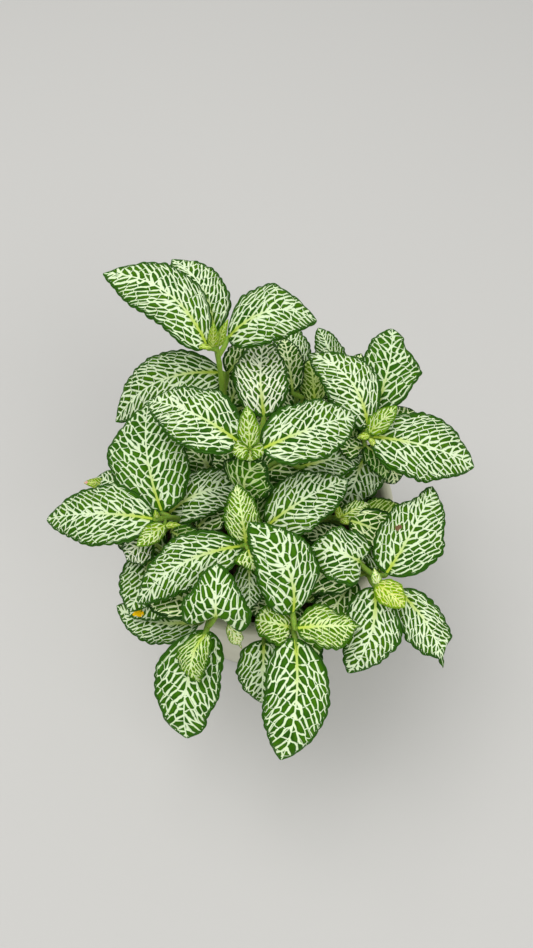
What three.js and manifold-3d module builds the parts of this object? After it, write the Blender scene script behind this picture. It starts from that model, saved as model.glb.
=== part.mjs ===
// Nerve plant in a ceramic pot: leafy stems that rise from the soil and spread over the rim.
// Millimetres, +Z up. The origin is the centre of the pot's flat base, and the plant's front faces -Y.
import * as THREE from "three";
import { mergeVertices } from "three/addons/utils/BufferGeometryUtils.js";
import Module from "manifold-3d";

const wasm = await Module();
wasm.setup();

// Driving dimensions
const POT_DIAMETER = 100;
const BASE_DIAMETER = 91;
const POT_HEIGHT = 78;
const WALL = 4.5;
const FLOOR = 5;
const SOIL_HEIGHT = 66;
const STEM_DIAMETER = 3.4;
const PETIOLE_DIAMETER = 1.8;
const BLADE_THICKNESS = 0.8;
const BLADE_GAP = 2.2;
const SEAT_GAP = 0.3;
const STEM_SUNK = 14;
const SLIVER = 0.02;

// The viewpoint that the layout was read from: where it stands, how far it looks down, and its
// picture's focal length and middle, in pixels.
const EYE = new THREE.Vector3(1.7, -107.9, 313);
const LOOK_DOWN = THREE.MathUtils.degToRad(63);
const FOCAL = 684.7;
const MIDDLE_X = 266.5;
const MIDDLE_Y = 474;
const RIGHT = new THREE.Vector3(1, 0, 0);
const FORWARD = new THREE.Vector3(0, Math.cos(LOOK_DOWN), -Math.sin(LOOK_DOWN));
const UPWARD = new THREE.Vector3(0, Math.sin(LOOK_DOWN), Math.cos(LOOK_DOWN));
const SKY = new THREE.Vector3(0, 0, 1);

// The point at a height, in millimetres, that the viewpoint sees at a pixel of its picture.
function seen([pixelX, pixelY, height]) {
  const ray = FORWARD.clone()
    .addScaledVector(RIGHT, (pixelX - MIDDLE_X) / FOCAL)
    .addScaledVector(UPWARD, (MIDDLE_Y - pixelY) / FOCAL);
  return EYE.clone().addScaledVector(ray, (height - EYE.z) / ray.z);
}

// A leaf runs from the foot of its blade to its tip, each given as a pixel and a height. Its width,
// the lift of its middle (arch) and the sideways curve of its midrib (bend) are in millimetres, and
// roll turns the blade about its midrib, in degrees. under counts the leaves that lie over it.
function leaf(foot, tip, width, { arch = 3, bend = 0, roll = 0, under = 0 } = {}) {
  return { foot: seen(foot), tip: seen(tip), width, arch, bend, roll, under };
}

// Each stem stands in the soil at foot, in millimetres from the middle of the pot, and ends in a
// head, a pixel and a height. Its leaves follow, from the top down.
const STEMS = {
  centre: {
    foot: [-3, 0],
    head: [249, 446, 134],
    leaves: [
      leaf([250, 447, 135], [247, 406, 144], 6.5, { arch: 1 }),
      leaf([248, 450, 134], [236, 457, 131], 6, { arch: 1 }),
      leaf([253, 452, 134], [262, 457, 130], 6, { arch: 1 }),
      leaf([240, 443, 133], [148, 402, 126], 20, { arch: 4, bend: 1.5 }),
      leaf([262, 449, 133], [356, 416, 125], 20, { arch: 4 }),
      leaf([264, 417, 122], [266, 337, 124], 18, { under: 1 }),
      leaf([300, 467, 110], [363, 456, 106], 13.5, { under: 2 }),
      leaf([240, 476, 104], [215, 450, 106], 12, { under: 3 }),
      leaf([250, 492, 100], [289, 459, 105], 17, { under: 3 }),
    ],
  },
  back_left: {
    foot: [-12, 19],
    head: [217, 348, 137],
    leaves: [
      leaf([213, 345, 139], [212, 322, 148], 4.5, { arch: 0.5 }),
      leaf([219, 345, 139], [227, 319, 148], 3.6, { arch: 0.5 }),
      leaf([212, 347, 138], [196, 347, 138], 3.4, { arch: 1.5 }),
      leaf([207, 346, 138], [103, 274, 146], 19, { arch: 3, bend: 6 }),
      leaf([228, 338, 136], [317, 321, 137], 19, { arch: 6, bend: -4 }),
      leaf([214, 334, 134], [172, 260, 136], 16.5, { bend: 3.5, under: 1 }),
      leaf([223, 373, 123], [116, 422, 106], 20, { arch: 5, bend: 5, under: 2 }),
      leaf([228, 373, 119], [256, 347, 116], 12, { under: 2 }),
    ],
  },
  right: {
    foot: [33, 20],
    head: [369, 433, 122],
    leaves: [
      leaf([370, 431, 123], [397, 407, 130], 5, { arch: 1 }),
      leaf([369, 434, 123], [357, 436, 122], 4, { arch: 1 }),
      leaf([371, 436, 122], [373, 446, 119], 3.4, { arch: 1 }),
      leaf([368, 427, 122], [308, 354, 127], 17, { bend: 4.5 }),
      leaf([372, 437, 121], [474, 467, 113], 22, { arch: 4, bend: -1 }),
      leaf([374, 412, 117], [392, 329, 120], 19, { bend: 1.5, under: 1 }),
      leaf([363, 458, 103], [347, 506, 97], 18, { arch: 4, under: 3 }),
      leaf([384, 455, 98], [395, 484, 92], 12, { under: 4 }),
    ],
  },
  front: {
    foot: [2, -26],
    head: [295, 628, 106],
    leaves: [
      leaf([293, 613, 108], [249, 522, 122], 19.5, { arch: 5, bend: 4 }),
      leaf([293, 628, 107], [255, 620, 108], 11.5, { arch: 2 }),
      leaf([297, 628, 107], [361, 626, 105], 12.5, { arch: 2 }),
      leaf([295, 638, 103], [281, 760, 86], 20.5, { arch: 6, bend: -2.5, under: 1 }),
      leaf([264, 640, 95], [262, 703, 86], 17, { arch: 3, under: 2 }),
      leaf([292, 602, 96], [250, 612, 94], 10, { under: 3 }),
      leaf([312, 592, 93], [356, 589, 90], 10.5, { under: 3 }),
      leaf([300, 600, 92], [318, 570, 95], 11, { under: 4 }),
    ],
  },
  front_left: {
    foot: [-15, -24],
    head: [209, 626, 108],
    leaves: [
      leaf([216, 627, 110], [217, 563, 120], 20.5, { arch: 5 }),
      leaf([206, 632, 108], [200, 682, 99], 9.5, { arch: 4, bend: 3 }),
      leaf([227, 627, 98], [243, 647, 92], 4.5, { arch: 2, under: 1 }),
      leaf([206, 630, 105], [187, 738, 90], 20, { arch: 5, bend: 2.5, under: 1 }),
      leaf([200, 622, 98], [117, 606, 90], 14, { arch: 3, bend: -3, under: 3 }),
    ],
  },
  front_right: {
    foot: [22, -21],
    head: [380, 579, 107],
    leaves: [
      leaf([376, 588, 109], [405, 607, 107], 6.5, { arch: 3 }),
      leaf([380, 584, 109], [374, 566, 113], 4.5, { arch: 1 }),
      leaf([386, 574, 107], [432, 486, 110], 21.5, { bend: 1 }),
      leaf([366, 565, 108], [311, 547, 112], 17, { arch: 5, under: 1 }),
      leaf([375, 588, 106], [348, 673, 93], 17.5, { arch: 4, bend: -3, under: 1 }),
      leaf([397, 590, 103], [443, 668, 92], 15, { arch: 4, bend: -2, under: 2 }),
      leaf([380, 572, 96], [378, 528, 99], 12, { under: 4 }),
    ],
  },
  left: {
    foot: [-20, -9],
    head: [160, 519, 114],
    leaves: [
      leaf([165, 527, 113], [137, 546, 113], 5.5, { arch: 1 }),
      leaf([166, 527, 113], [181, 525, 114], 3, { arch: 1 }),
      leaf([157, 517, 115], [155, 510, 119], 2.4, { arch: 0.5 }),
      leaf([154, 519, 114], [47, 520, 105], 19.5, { arch: 4, bend: 1 }),
      leaf([162, 512, 113], [149, 403, 115], 25.5, { bend: -2.5, under: 1 }),
      leaf([165, 517, 113], [254, 489, 112], 16, { arch: 5, bend: -3, under: 1 }),
      leaf([150, 537, 105], [127, 560, 100], 12, { under: 2 }),
      leaf([133, 494, 101], [97, 478, 99], 12, { under: 3 }),
      leaf([110, 487, 99], [84, 483, 99], 4.5, { under: 4 }),
      leaf([196, 529, 99], [233, 498, 102], 12, { under: 3 }),
      leaf([212, 470, 96], [187, 447, 99], 12, { under: 4 }),
    ],
  },
  middle: {
    foot: [-6, -17],
    head: [246, 546, 119],
    leaves: [
      leaf([248, 549, 119], [254, 571, 116], 7.4, { arch: 1 }),
      leaf([246, 543, 120], [237, 484, 126], 11, { arch: 2 }),
      leaf([242, 546, 118], [138, 604, 108], 16.5, { arch: 6, bend: 3, under: 1 }),
      leaf([267, 526, 113], [348, 481, 112], 18.5, { arch: 4, bend: -1, under: 1 }),
      leaf([249, 562, 108], [250, 609, 101], 10.5, { under: 2 }),
      leaf([228, 565, 100], [200, 541, 98], 13, { under: 4 }),
    ],
  },
  inner_right: {
    foot: [12, -9],
    head: [338, 517, 104],
    leaves: [
      leaf([340, 518, 105], [336, 503, 108], 4, { arch: 1 }),
      leaf([343, 516, 104], [369, 504, 102], 6.5, { arch: 2 }),
      leaf([340, 520, 104], [350, 524, 103], 4, { arch: 1 }),
      leaf([352, 522, 98], [407, 510, 95], 11.5, { arch: 3, under: 2 }),
    ],
  },
  low_left: {
    foot: [-27, -20],
    head: [160, 562, 98],
    leaves: [
      leaf([152, 552, 102], [130, 612, 96], 16, { arch: 4, bend: -1, under: 2 }),
      leaf([188, 573, 97], [129, 616, 92], 17, { arch: 4, under: 2 }),
    ],
  },
  back: {
    foot: [8, 20],
    head: [303, 398, 108],
    leaves: [
      leaf([293, 392, 112], [284, 338, 113], 11, { under: 2 }),
      leaf([315, 404, 107], [310, 359, 109], 10, { under: 2 }),
      leaf([300, 372, 100], [282, 325, 104], 14, { under: 4 }),
    ],
  },
  back_right: {
    foot: [20, 27],
    head: [349, 396, 104],
    leaves: [
      leaf([339, 374, 106], [318, 328, 110], 10, { under: 2 }),
      leaf([347, 400, 102], [325, 371, 104], 13, { under: 4 }),
    ],
  },
};

// Older leaves low on each stem, mostly out of sight. Each takes the first of several turns about its
// stem where it has room, and is left out if it finds none. The turns, lengths and drops come from
// one seeded series.
const LOW_LEAVES = [
  { height: 104, length: 25, width: 14, drop: 4 },
  { height: 99, length: 26, width: 14, drop: 5 },
  { height: 94, length: 26, width: 14, drop: 4 },
  { height: 89, length: 25, width: 14, drop: 3 },
  { height: 84, length: 23, width: 13, drop: 1 },
];
const LOW_TRIES = 10;
const LOW_CLEARANCE = 2.6;
let seed = 20;
function draw() {
  seed = (seed * 16807) % 2147483647;
  return seed / 2147483647;
}

// The stem's curve: upright out of the soil, then leaning out to the head.
function stemCurve({ foot, head }) {
  const root = new THREE.Vector3(foot[0], foot[1], SOIL_HEIGHT - STEM_SUNK);
  const top = seen(head);
  const knee = root.clone().lerp(top, 0.3).setZ(root.z + 0.75 * (top.z - root.z));
  return new THREE.QuadraticBezierCurve3(root, knee, top);
}

// The point of a stem at a height, or the nearest that it has.
function stemAt(curve, height) {
  let low = 0;
  let high = 1;
  for (let step = 0; step < 30; step++) {
    const middle = (low + high) / 2;
    if (curve.getPoint(middle).z < height) low = middle;
    else high = middle;
  }
  return curve.getPoint(high);
}

function lowLeaf(curve, { height, length, width, drop }) {
  const turn = 2 * Math.PI * draw();
  const outward = new THREE.Vector3(Math.cos(turn), Math.sin(turn), 0);
  const node = stemAt(curve, height);
  const foot = node.clone().addScaledVector(outward, 4);
  const tip = node.clone().addScaledVector(outward, 4 + length * (0.85 + 0.3 * draw()));
  tip.z -= drop * (0.5 + draw());
  return { foot, tip, width, arch: 2, bend: 0, roll: 0, low: true };
}

// How far a blade reaches from its midrib, as a share of half its width: along ** FOOT_FULL times
// (1 - along) ** TIP_FULL, scaled so that its widest place is 1.
const FOOT_FULL = 0.55;
const TIP_FULL = 0.8;
const WIDEST = FOOT_FULL / (FOOT_FULL + TIP_FULL);
const PEAK = WIDEST ** FOOT_FULL * (1 - WIDEST) ** TIP_FULL;
function reach(along) {
  return (along ** FOOT_FULL * (1 - along) ** TIP_FULL) / PEAK;
}

// The blade's own axes: along the midrib, out of its upper face, and across to its right.
function bladeAxes({ foot, tip, roll }) {
  const along = tip.clone().sub(foot).normalize();
  const facing = EYE.clone().sub(foot).normalize().add(SKY);
  const normal = facing.addScaledVector(along, -facing.dot(along)).normalize();
  normal.applyAxisAngle(along, THREE.MathUtils.degToRad(roll));
  return { normal, across: along.clone().cross(normal) };
}

// The blade's middle surface. along runs from 0 at the foot to 1 at the tip, and across from -1 at
// the left edge to 1 at the right. The blade rises in a shallow V and its edges turn down in waves.
const FOLD_RISE = 0.3;
const FOLD_FALL = 0.42;
const WAVE_HEIGHT = 0.55;
const WAVES = 2.5;
function bladePoint(blade, along, across) {
  const { normal, across: sideways } = blade.axes;
  const hump = 4 * along * (1 - along);
  const half = (blade.width / 2) * reach(along);
  const wave = WAVE_HEIGHT * Math.sin(2 * Math.PI * WAVES * along + 2 * across) * (half / 10);
  const rise = half * (FOLD_RISE * Math.abs(across) - FOLD_FALL * across ** 2) + wave * across ** 2;
  return blade.foot.clone()
    .lerp(blade.tip, along)
    .addScaledVector(normal, blade.arch * hump + rise)
    .addScaledVector(sideways, blade.bend * hump + half * across);
}

// Blades lie in layers, as seen from the viewpoint, and never cross. A map of the picture in square
// cells keeps the depth of the deepest blade laid so far, and the next blade is moved back along
// the lines of sight until it clears that depth by the gap.
const CELL = 3;
const SAMPLES_ALONG = 36;
const SAMPLES_ACROSS = 24;
const FIRST_ROW = 5;
const YOUNG_WIDTH = 7.5;
const depthMap = new Map();

function sight(point) {
  const offset = point.clone().sub(EYE);
  const depth = offset.dot(FORWARD);
  return { x: (FOCAL * offset.x) / depth, y: (FOCAL * offset.dot(UPWARD)) / depth, depth };
}

function cellAt({ x, y }, stepX = 0, stepY = 0) {
  return `${Math.floor(x / CELL) + stepX},${Math.floor(y / CELL) + stepY}`;
}

function depthAround(place) {
  let deepest = 0;
  for (const stepX of [-1, 0, 1]) {
    for (const stepY of [-1, 0, 1]) {
      deepest = Math.max(deepest, depthMap.get(cellAt(place, stepX, stepY)) ?? 0);
    }
  }
  return deepest;
}

// How far back each part of the blade goes: its foot by one distance and its tip by another.
function pushAt({ pushFoot, pushTip }, along) {
  return pushFoot + (pushTip - pushFoot) * along * along * (3 - 2 * along);
}

function placedPoint(blade, along, across) {
  const point = bladePoint(blade, along, across);
  const ray = point.clone().sub(EYE);
  return point.addScaledVector(ray, pushAt(blade, along) / ray.dot(FORWARD));
}

function layBlade(blade) {
  const needs = [];
  for (let row = FIRST_ROW; row < SAMPLES_ALONG; row++) {
    const along = row / SAMPLES_ALONG;
    let need = 0;
    for (let column = 0; column <= SAMPLES_ACROSS; column++) {
      const place = sight(bladePoint(blade, along, (2 * column) / SAMPLES_ACROSS - 1));
      need = Math.max(need, depthAround(place) + BLADE_GAP - place.depth);
    }
    needs.push([along, need]);
  }
  const largest = (rows) => Math.max(0, ...rows.map(([, need]) => need));
  blade.pushFoot = largest(needs.filter(([along]) => along < 0.5));
  blade.pushTip = largest(needs);
  const missing = largest(needs.map(([along, need]) => [along, need - pushAt(blade, along)]));
  blade.pushFoot += missing;
  blade.pushTip += missing;
}

function recordBlade(blade) {
  for (let row = 0; row <= SAMPLES_ALONG; row++) {
    for (let column = 0; column <= SAMPLES_ACROSS; column++) {
      const across = (2 * column) / SAMPLES_ACROSS - 1;
      const place = sight(placedPoint(blade, row / SAMPLES_ALONG, across));
      const cell = cellAt(place);
      depthMap.set(cell, Math.max(depthMap.get(cell) ?? 0, place.depth));
    }
  }
}

// Points spread over a blade, for the clearance of low leaves.
function spread(blade) {
  const points = [];
  for (let row = 0; row <= 12; row++) {
    for (let column = 0; column <= 6; column++) {
      points.push(placedPoint(blade, row / 12, column / 3 - 1));
    }
  }
  return points;
}

// Whether a low leaf clears the soil, the pot, the other stems and the blades already there, and
// stays hidden under them or inside the pot.
function hasRoom(points, ownCurve, curves, taken) {
  const others = curves.filter((curve) => curve !== ownCurve);
  return points.every((point) => {
    const radius = Math.hypot(point.x, point.y);
    const floor = radius < wallAt(SOIL_HEIGHT) - 3 ? SOIL_HEIGHT + 2 : POT_HEIGHT;
    const hidden = radius < wallAt(SOIL_HEIGHT) - 3 || depthAround(sight(point)) > 0;
    return hidden
      && point.z > floor + LOW_CLEARANCE
      && others.every((curve) => stemAt(curve, point.z).distanceTo(point) > LOW_CLEARANCE + 1)
      && taken.every((other) => other.distanceTo(point) > LOW_CLEARANCE);
  });
}

// A closed body from points and triangles, and the same as a body that can be joined or cut.
function solid(points, triangles) {
  const mesh = new wasm.Mesh({
    numProp: 3,
    vertProperties: new Float32Array(points.flatMap((point) => [point.x, point.y, point.z])),
    triVerts: new Uint32Array(triangles.flat()),
  });
  return new wasm.Manifold(mesh);
}

function solidOf(geometry) {
  const bare = new THREE.BufferGeometry();
  bare.setAttribute("position", geometry.getAttribute("position"));
  bare.setIndex(geometry.getIndex());
  const merged = mergeVertices(bare, 1e-4);
  const index = merged.getIndex().array;
  const kept = [];
  for (let at = 0; at < index.length; at += 3) {
    const [a, b, c] = [index[at], index[at + 1], index[at + 2]];
    if (a !== b && b !== c && c !== a) kept.push(a, b, c);
  }
  const mesh = new wasm.Mesh({
    numProp: 3,
    vertProperties: new Float32Array(merged.getAttribute("position").array),
    triVerts: new Uint32Array(kept),
  });
  return new wasm.Manifold(mesh);
}

// The blade as a plate of even thickness: one grid for both faces, so that they bend alike.
function bladeSolid(blade) {
  const large = blade.width > 14.5;
  const rows = large ? 6 : 4 - Number(Boolean(blade.low));
  const columns = large ? 4 : 2;
  const { normal } = blade.axes;
  const faces = [BLADE_THICKNESS / 2, -BLADE_THICKNESS / 2].map((lift) => {
    const grid = [[placedPoint(blade, 0, 0)]];
    for (let row = 1; row < rows; row++) {
      const line = [];
      for (let column = 0; column <= columns; column++) {
        line.push(placedPoint(blade, row / rows, (2 * column) / columns - 1));
      }
      grid.push(line);
    }
    grid.push([placedPoint(blade, 1, 0)]);
    return grid.map((line) => line.map((point) => point.addScaledVector(normal, lift)));
  });
  const points = faces.flat(2);
  const perFace = points.length / 2;
  const at = (row, column) => (row === 0 ? 0 : 1 + (row - 1) * (columns + 1) + column);
  const last = perFace - 1;
  const triangles = [];
  const addBoth = (a, b, c) => triangles.push([a, c, b], [perFace + a, perFace + b, perFace + c]);
  for (let column = 0; column < columns; column++) {
    addBoth(0, at(1, column), at(1, column + 1));
    addBoth(last, at(rows - 1, column + 1), at(rows - 1, column));
    for (let row = 1; row < rows - 1; row++) {
      const [a, b] = [at(row, column), at(row, column + 1)];
      const [c, d] = [at(row + 1, column), at(row + 1, column + 1)];
      addBoth(a, c, d);
      addBoth(a, d, b);
    }
  }
  const edge = [0];
  for (let row = 1; row < rows; row++) edge.push(at(row, 0));
  edge.push(last);
  for (let row = rows - 1; row > 0; row--) edge.push(at(row, columns));
  edge.forEach((from, index) => {
    const to = edge[(index + 1) % edge.length];
    triangles.push([from, perFace + to, perFace + from], [from, to, perFace + to]);
  });
  return solid(points, triangles);
}

// A round-ended stalk along a list of points.
function stalk(points, diameter, sides, steps) {
  const curve = new THREE.CatmullRomCurve3(points);
  const { normals, binormals } = curve.computeFrenetFrames(steps, false);
  const rings = [];
  for (let step = 0; step <= steps; step++) {
    const middle = curve.getPointAt(step / steps);
    for (let side = 0; side < sides; side++) {
      const turn = (2 * Math.PI * side) / sides;
      rings.push(middle.clone()
        .addScaledVector(normals[step], (Math.cos(turn) * diameter) / 2)
        .addScaledVector(binormals[step], (Math.sin(turn) * diameter) / 2));
    }
  }
  const triangles = [];
  for (let step = 0; step < steps; step++) {
    for (let side = 0; side < sides; side++) {
      const [a, b] = [step * sides + side, step * sides + ((side + 1) % sides)];
      triangles.push([a, b, b + sides], [a, b + sides, a + sides]);
    }
  }
  for (let side = 1; side < sides - 1; side++) {
    triangles.push([0, side + 1, side]);
    const end = steps * sides;
    triangles.push([end, end + side, end + side + 1]);
  }
  return solid(rings, triangles);
}

// The petiole leaves the stem a little below the blade and runs under the midrib into the blade.
const PETIOLE_FALL = 0.3;
function petioleSolid(curve, blade) {
  const foot = placedPoint(blade, 0, 0);
  const inside = placedPoint(blade, Math.min(0.3, 2.5 / blade.foot.distanceTo(blade.tip)), 0);
  const above = stemAt(curve, foot.z);
  const apart = Math.hypot(foot.x - above.x, foot.y - above.y);
  const node = stemAt(curve, foot.z - 0.6 - PETIOLE_FALL * apart);
  node.addScaledVector(foot.clone().sub(node).normalize(), -STEM_DIAMETER / 6);
  const slim = Math.min(PETIOLE_DIAMETER, 0.4 + blade.width / 8);
  foot.addScaledVector(blade.axes.normal, -slim / 4);
  inside.addScaledVector(blade.axes.normal, -slim / 4);
  const middle = node.clone().lerp(foot, 0.6);
  middle.z -= 0.12 * apart;
  return stalk([node, middle, foot, inside], slim, 4, 2);
}

// The pot: straight walls that widen a little towards a rounded rim, and a plain round foot.
const POT_SIDES = 32;
const CORNER = 4;
const potRadius = POT_DIAMETER / 2;
const baseRadius = BASE_DIAMETER / 2;
const wallFoot = FLOOR + CORNER;
const wallTop = POT_HEIGHT - WALL / 2;
function potSolid() {
  const rim = WALL / 2;
  const outline = new THREE.Path();
  outline.moveTo(0, 0);
  outline.lineTo(baseRadius - 3, 0);
  outline.quadraticCurveTo(baseRadius, 0, baseRadius + 0.2, 3);
  outline.lineTo(potRadius, wallTop);
  outline.absarc(potRadius - rim, wallTop, rim, 0, Math.PI, false);
  outline.lineTo(wallAt(wallFoot), wallFoot);
  outline.quadraticCurveTo(wallAt(wallFoot), FLOOR, wallAt(wallFoot) - CORNER, FLOOR);
  outline.lineTo(0, FLOOR);
  const lathe = new THREE.LatheGeometry(outline.getPoints(3), POT_SIDES);
  return solidOf(lathe.rotateX(Math.PI / 2));
}

// The inner wall's radius at a height.
function wallAt(height) {
  const share = (height - wallFoot) / (wallTop - wallFoot);
  return THREE.MathUtils.lerp(baseRadius - WALL, potRadius - WALL, share);
}

// The soil: it fills the pot from its floor, with a slightly raised, uneven top and a plain hole for
// each stem. Each ring is a radius and a height, and clods roughens the rings of the top.
const SOIL_HOLE = STEM_DIAMETER + 2 * SEAT_GAP;
function soilSolid(curves) {
  const rings = [
    { radius: 14, height: SOIL_HEIGHT + 1.2, clods: 1 },
    { radius: 30, height: SOIL_HEIGHT + 1.2, clods: 1 },
    { radius: wallAt(SOIL_HEIGHT) - 1, height: SOIL_HEIGHT - 1.4, clods: 0.5 },
    { radius: wallAt(wallFoot) - SEAT_GAP, height: wallFoot, clods: 0 },
    { radius: wallAt(wallFoot) - CORNER, height: FLOOR + SEAT_GAP, clods: 0 },
  ];
  const points = rings.flatMap(({ radius, height, clods }) => {
    const ring = [];
    for (let side = 0; side < POT_SIDES; side++) {
      const turn = (2 * Math.PI * side) / POT_SIDES;
      const clod = 0.7 * Math.sin(3 * turn + radius) + 0.4 * Math.sin(7 * turn - 2 * radius);
      const lift = height + clods * clod;
      ring.push(new THREE.Vector3(radius * Math.cos(turn), radius * Math.sin(turn), lift));
    }
    return ring;
  });
  const top = points.push(new THREE.Vector3(0, 0, SOIL_HEIGHT + 1.6)) - 1;
  const under = points.push(new THREE.Vector3(0, 0, FLOOR + SEAT_GAP)) - 1;
  const triangles = [];
  for (let side = 0; side < POT_SIDES; side++) {
    const next = (side + 1) % POT_SIDES;
    triangles.push([top, side, next]);
    for (let ring = 0; ring < rings.length - 1; ring++) {
      const [a, b] = [ring * POT_SIDES + side, ring * POT_SIDES + next];
      triangles.push([a, a + POT_SIDES, b + POT_SIDES], [a, b + POT_SIDES, b]);
    }
    const foot = (rings.length - 1) * POT_SIDES;
    triangles.push([under, foot + next, foot + side]);
  }
  let soil = solid(points, triangles);
  for (const curve of curves) {
    const path = [0, 0.15, 0.3].map((share) => curve.getPoint(share));
    path[0].z -= 1;
    soil = soil.subtract(stalk(path, SOIL_HOLE / Math.cos(Math.PI / 6), 6, 2));
  }
  return soil;
}

function stemSolid(curve) {
  const points = [0, 0.25, 0.5, 0.75, 1].map((share) => curve.getPoint(share));
  return stalk(points, STEM_DIAMETER, 6, 5);
}

// One body from a shoot's pieces. Crumbs and pinholes that the joins leave are dropped, and a leaf
// that doesn't reach its stem is an error.
function fuse(name, pieces) {
  const bodies = wasm.Manifold.union(pieces).simplify(SLIVER).decompose();
  const [whole, ...crumbs] = bodies.sort((a, b) => b.volume() - a.volume());
  if (crumbs.some((crumb) => Math.abs(crumb.volume()) > 1)) throw new Error(`${name} has a loose leaf`);
  return whole;
}

function toMesh(name, body, material) {
  const { vertProperties, triVerts } = body.getMesh();
  const geometry = new THREE.BufferGeometry();
  geometry.setAttribute("position", new THREE.BufferAttribute(new Float32Array(vertProperties), 3));
  geometry.setIndex(new THREE.BufferAttribute(new Uint32Array(triVerts), 1));
  geometry.computeVertexNormals();
  const mesh = new THREE.Mesh(geometry, material);
  mesh.name = name;
  return mesh;
}

const ceramic = new THREE.MeshStandardMaterial({ color: 0xd6d6c8, roughness: 0.45, metalness: 0 });
const earth = new THREE.MeshStandardMaterial({ color: 0x1d1712, roughness: 0.95, metalness: 0 });
const foliage = new THREE.MeshStandardMaterial({ color: 0x5f9a44, roughness: 0.5, metalness: 0 });

const shoots = Object.entries(STEMS).map(([name, stem]) => {
  const curve = stemCurve(stem);
  const blades = [...stem.leaves];
  for (const blade of blades) Object.assign(blade, { axes: bladeAxes(blade), pushFoot: 0, pushTip: 0 });
  return { name, curve, blades };
});
const curves = shoots.map(({ curve }) => curve);
const layers = shoots.flatMap(({ blades }) => blades).filter(({ width }) => width > YOUNG_WIDTH);
for (const blade of layers.sort((a, b) => a.under - b.under)) {
  layBlade(blade);
  recordBlade(blade);
}
const taken = layers.flatMap(spread);
for (const size of LOW_LEAVES) {
  for (const { curve, blades } of shoots) {
    for (let tries = 0; tries < LOW_TRIES; tries++) {
      const blade = lowLeaf(curve, size);
      Object.assign(blade, { axes: bladeAxes(blade), pushFoot: 0, pushTip: 0 });
      const points = spread(blade);
      if (hasRoom(points, curve, curves, taken)) {
        blades.push(blade);
        taken.push(...points);
        break;
      }
    }
  }
}

const plant = new THREE.Group();
plant.add(toMesh("pot", potSolid(), ceramic));
plant.add(toMesh("soil", soilSolid(curves), earth));
for (const { name, curve, blades } of shoots) {
  const pieces = [stemSolid(curve)];
  for (const blade of blades) pieces.push(bladeSolid(blade), petioleSolid(curve, blade));
  plant.add(toMesh(`shoot_${name}`, fuse(name, pieces), foliage));
}

export default plant;
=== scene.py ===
# %% [markdown]
# # A potted nerve plant
#
# Leafy stems of a nerve plant rise from the soil of a round off-white pot and spread over its rim.
# The frame gives the pot, the soil and one plain solid for each leafy stem. Here each of them gets
# the surface it has on the real plant: leaves with scalloped edges and a white net of veins, juicy
# stems, glazed clay and crumbly soil.

import bpy
import numpy as np
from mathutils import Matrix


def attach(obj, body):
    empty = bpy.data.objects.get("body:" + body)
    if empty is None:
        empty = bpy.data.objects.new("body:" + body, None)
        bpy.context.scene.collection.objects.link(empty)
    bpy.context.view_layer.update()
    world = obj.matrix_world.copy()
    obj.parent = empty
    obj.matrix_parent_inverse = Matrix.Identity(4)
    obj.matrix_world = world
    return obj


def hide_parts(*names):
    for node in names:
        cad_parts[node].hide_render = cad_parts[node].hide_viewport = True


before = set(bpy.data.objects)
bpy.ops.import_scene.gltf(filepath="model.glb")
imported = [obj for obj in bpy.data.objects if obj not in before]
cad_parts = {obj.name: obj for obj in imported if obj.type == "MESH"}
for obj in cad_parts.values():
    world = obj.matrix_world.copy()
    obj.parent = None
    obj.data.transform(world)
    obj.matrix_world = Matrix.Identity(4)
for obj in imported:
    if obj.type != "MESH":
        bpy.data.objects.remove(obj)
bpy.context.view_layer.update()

MM = 0.001
print("nodes", len(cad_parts))

# %% [markdown]
# ## Viewpoint
#
# The layout was read from one picture taken from above the front of the pot. A leaf is easiest to
# place by where it shows in that picture and how high it stands, so every leaf has two pixels and
# two heights, and a line of sight turns each pair into a point. The camera is the same viewpoint.
# Lengths in the layout are in millimetres.

# %% Viewpoint
EYE = np.array([1.7, -107.9, 313.0])
LOOK_DOWN = np.radians(63)
FOCAL = 684.7
PICTURE = (533, 948)
SENSOR_WIDTH = 36
NEAREST_SEEN = 0.01
FORWARD = np.array([0, np.cos(LOOK_DOWN), -np.sin(LOOK_DOWN)])
UPWARD = np.array([0, np.sin(LOOK_DOWN), np.cos(LOOK_DOWN)])
RIGHT = np.array([1.0, 0, 0])
SKY = np.array([0, 0, 1.0])


def unit(vector):
    """The vector scaled to length 1."""
    return vector / np.linalg.norm(vector)


def seen(place):
    """The point at a height that the viewpoint sees at a pixel: EYE + ray * (height - EYE.z) / ray.z."""
    pixel_x, pixel_y, height = place
    ray = (
        FORWARD
        + RIGHT * (pixel_x - PICTURE[0] / 2) / FOCAL
        + UPWARD * (PICTURE[1] / 2 - pixel_y) / FOCAL
    )
    return EYE + ray * (height - EYE[2]) / ray[2]


camera_data = bpy.data.cameras.new("camera")
camera_data.sensor_width = SENSOR_WIDTH
camera_data.lens = FOCAL / PICTURE[1] * SENSOR_WIDTH
camera_data.clip_start = NEAREST_SEEN
camera = bpy.data.objects.new("camera", camera_data)
camera.location = EYE * MM
camera.rotation_euler = (np.pi / 2 - LOOK_DOWN, 0, 0)
bpy.context.collection.objects.link(camera)
bpy.context.scene.camera = camera
print("lens", round(camera_data.lens, 1), "mm")

# %% [markdown]
# ## Layout
#
# Each stem stands in the soil at `foot` and ends in a head. Its leaves follow from the top down,
# each from the foot of its blade to its tip. `arch` lifts the middle of the midrib and `bend` moves
# it sideways. `under` counts the leaves that lie over a leaf, and `look` is its age and its light:
# the dim and shade looks hold painted shade, and the white and dim looks painted light. A few
# leaves have a form of their own: `heart` draws lobes back beside the foot, `tail` is the share of
# the blade that ends in a narrow tip, `bow` leads the petiole round a neighbour, and each of the
# `lumps` moves one side of the outline (1 is the right) at a place, over a spread, by an amount.

# %% Layout
YOUNG_WIDTH = 7.5
BUD_WIDTH = 4.6


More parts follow.
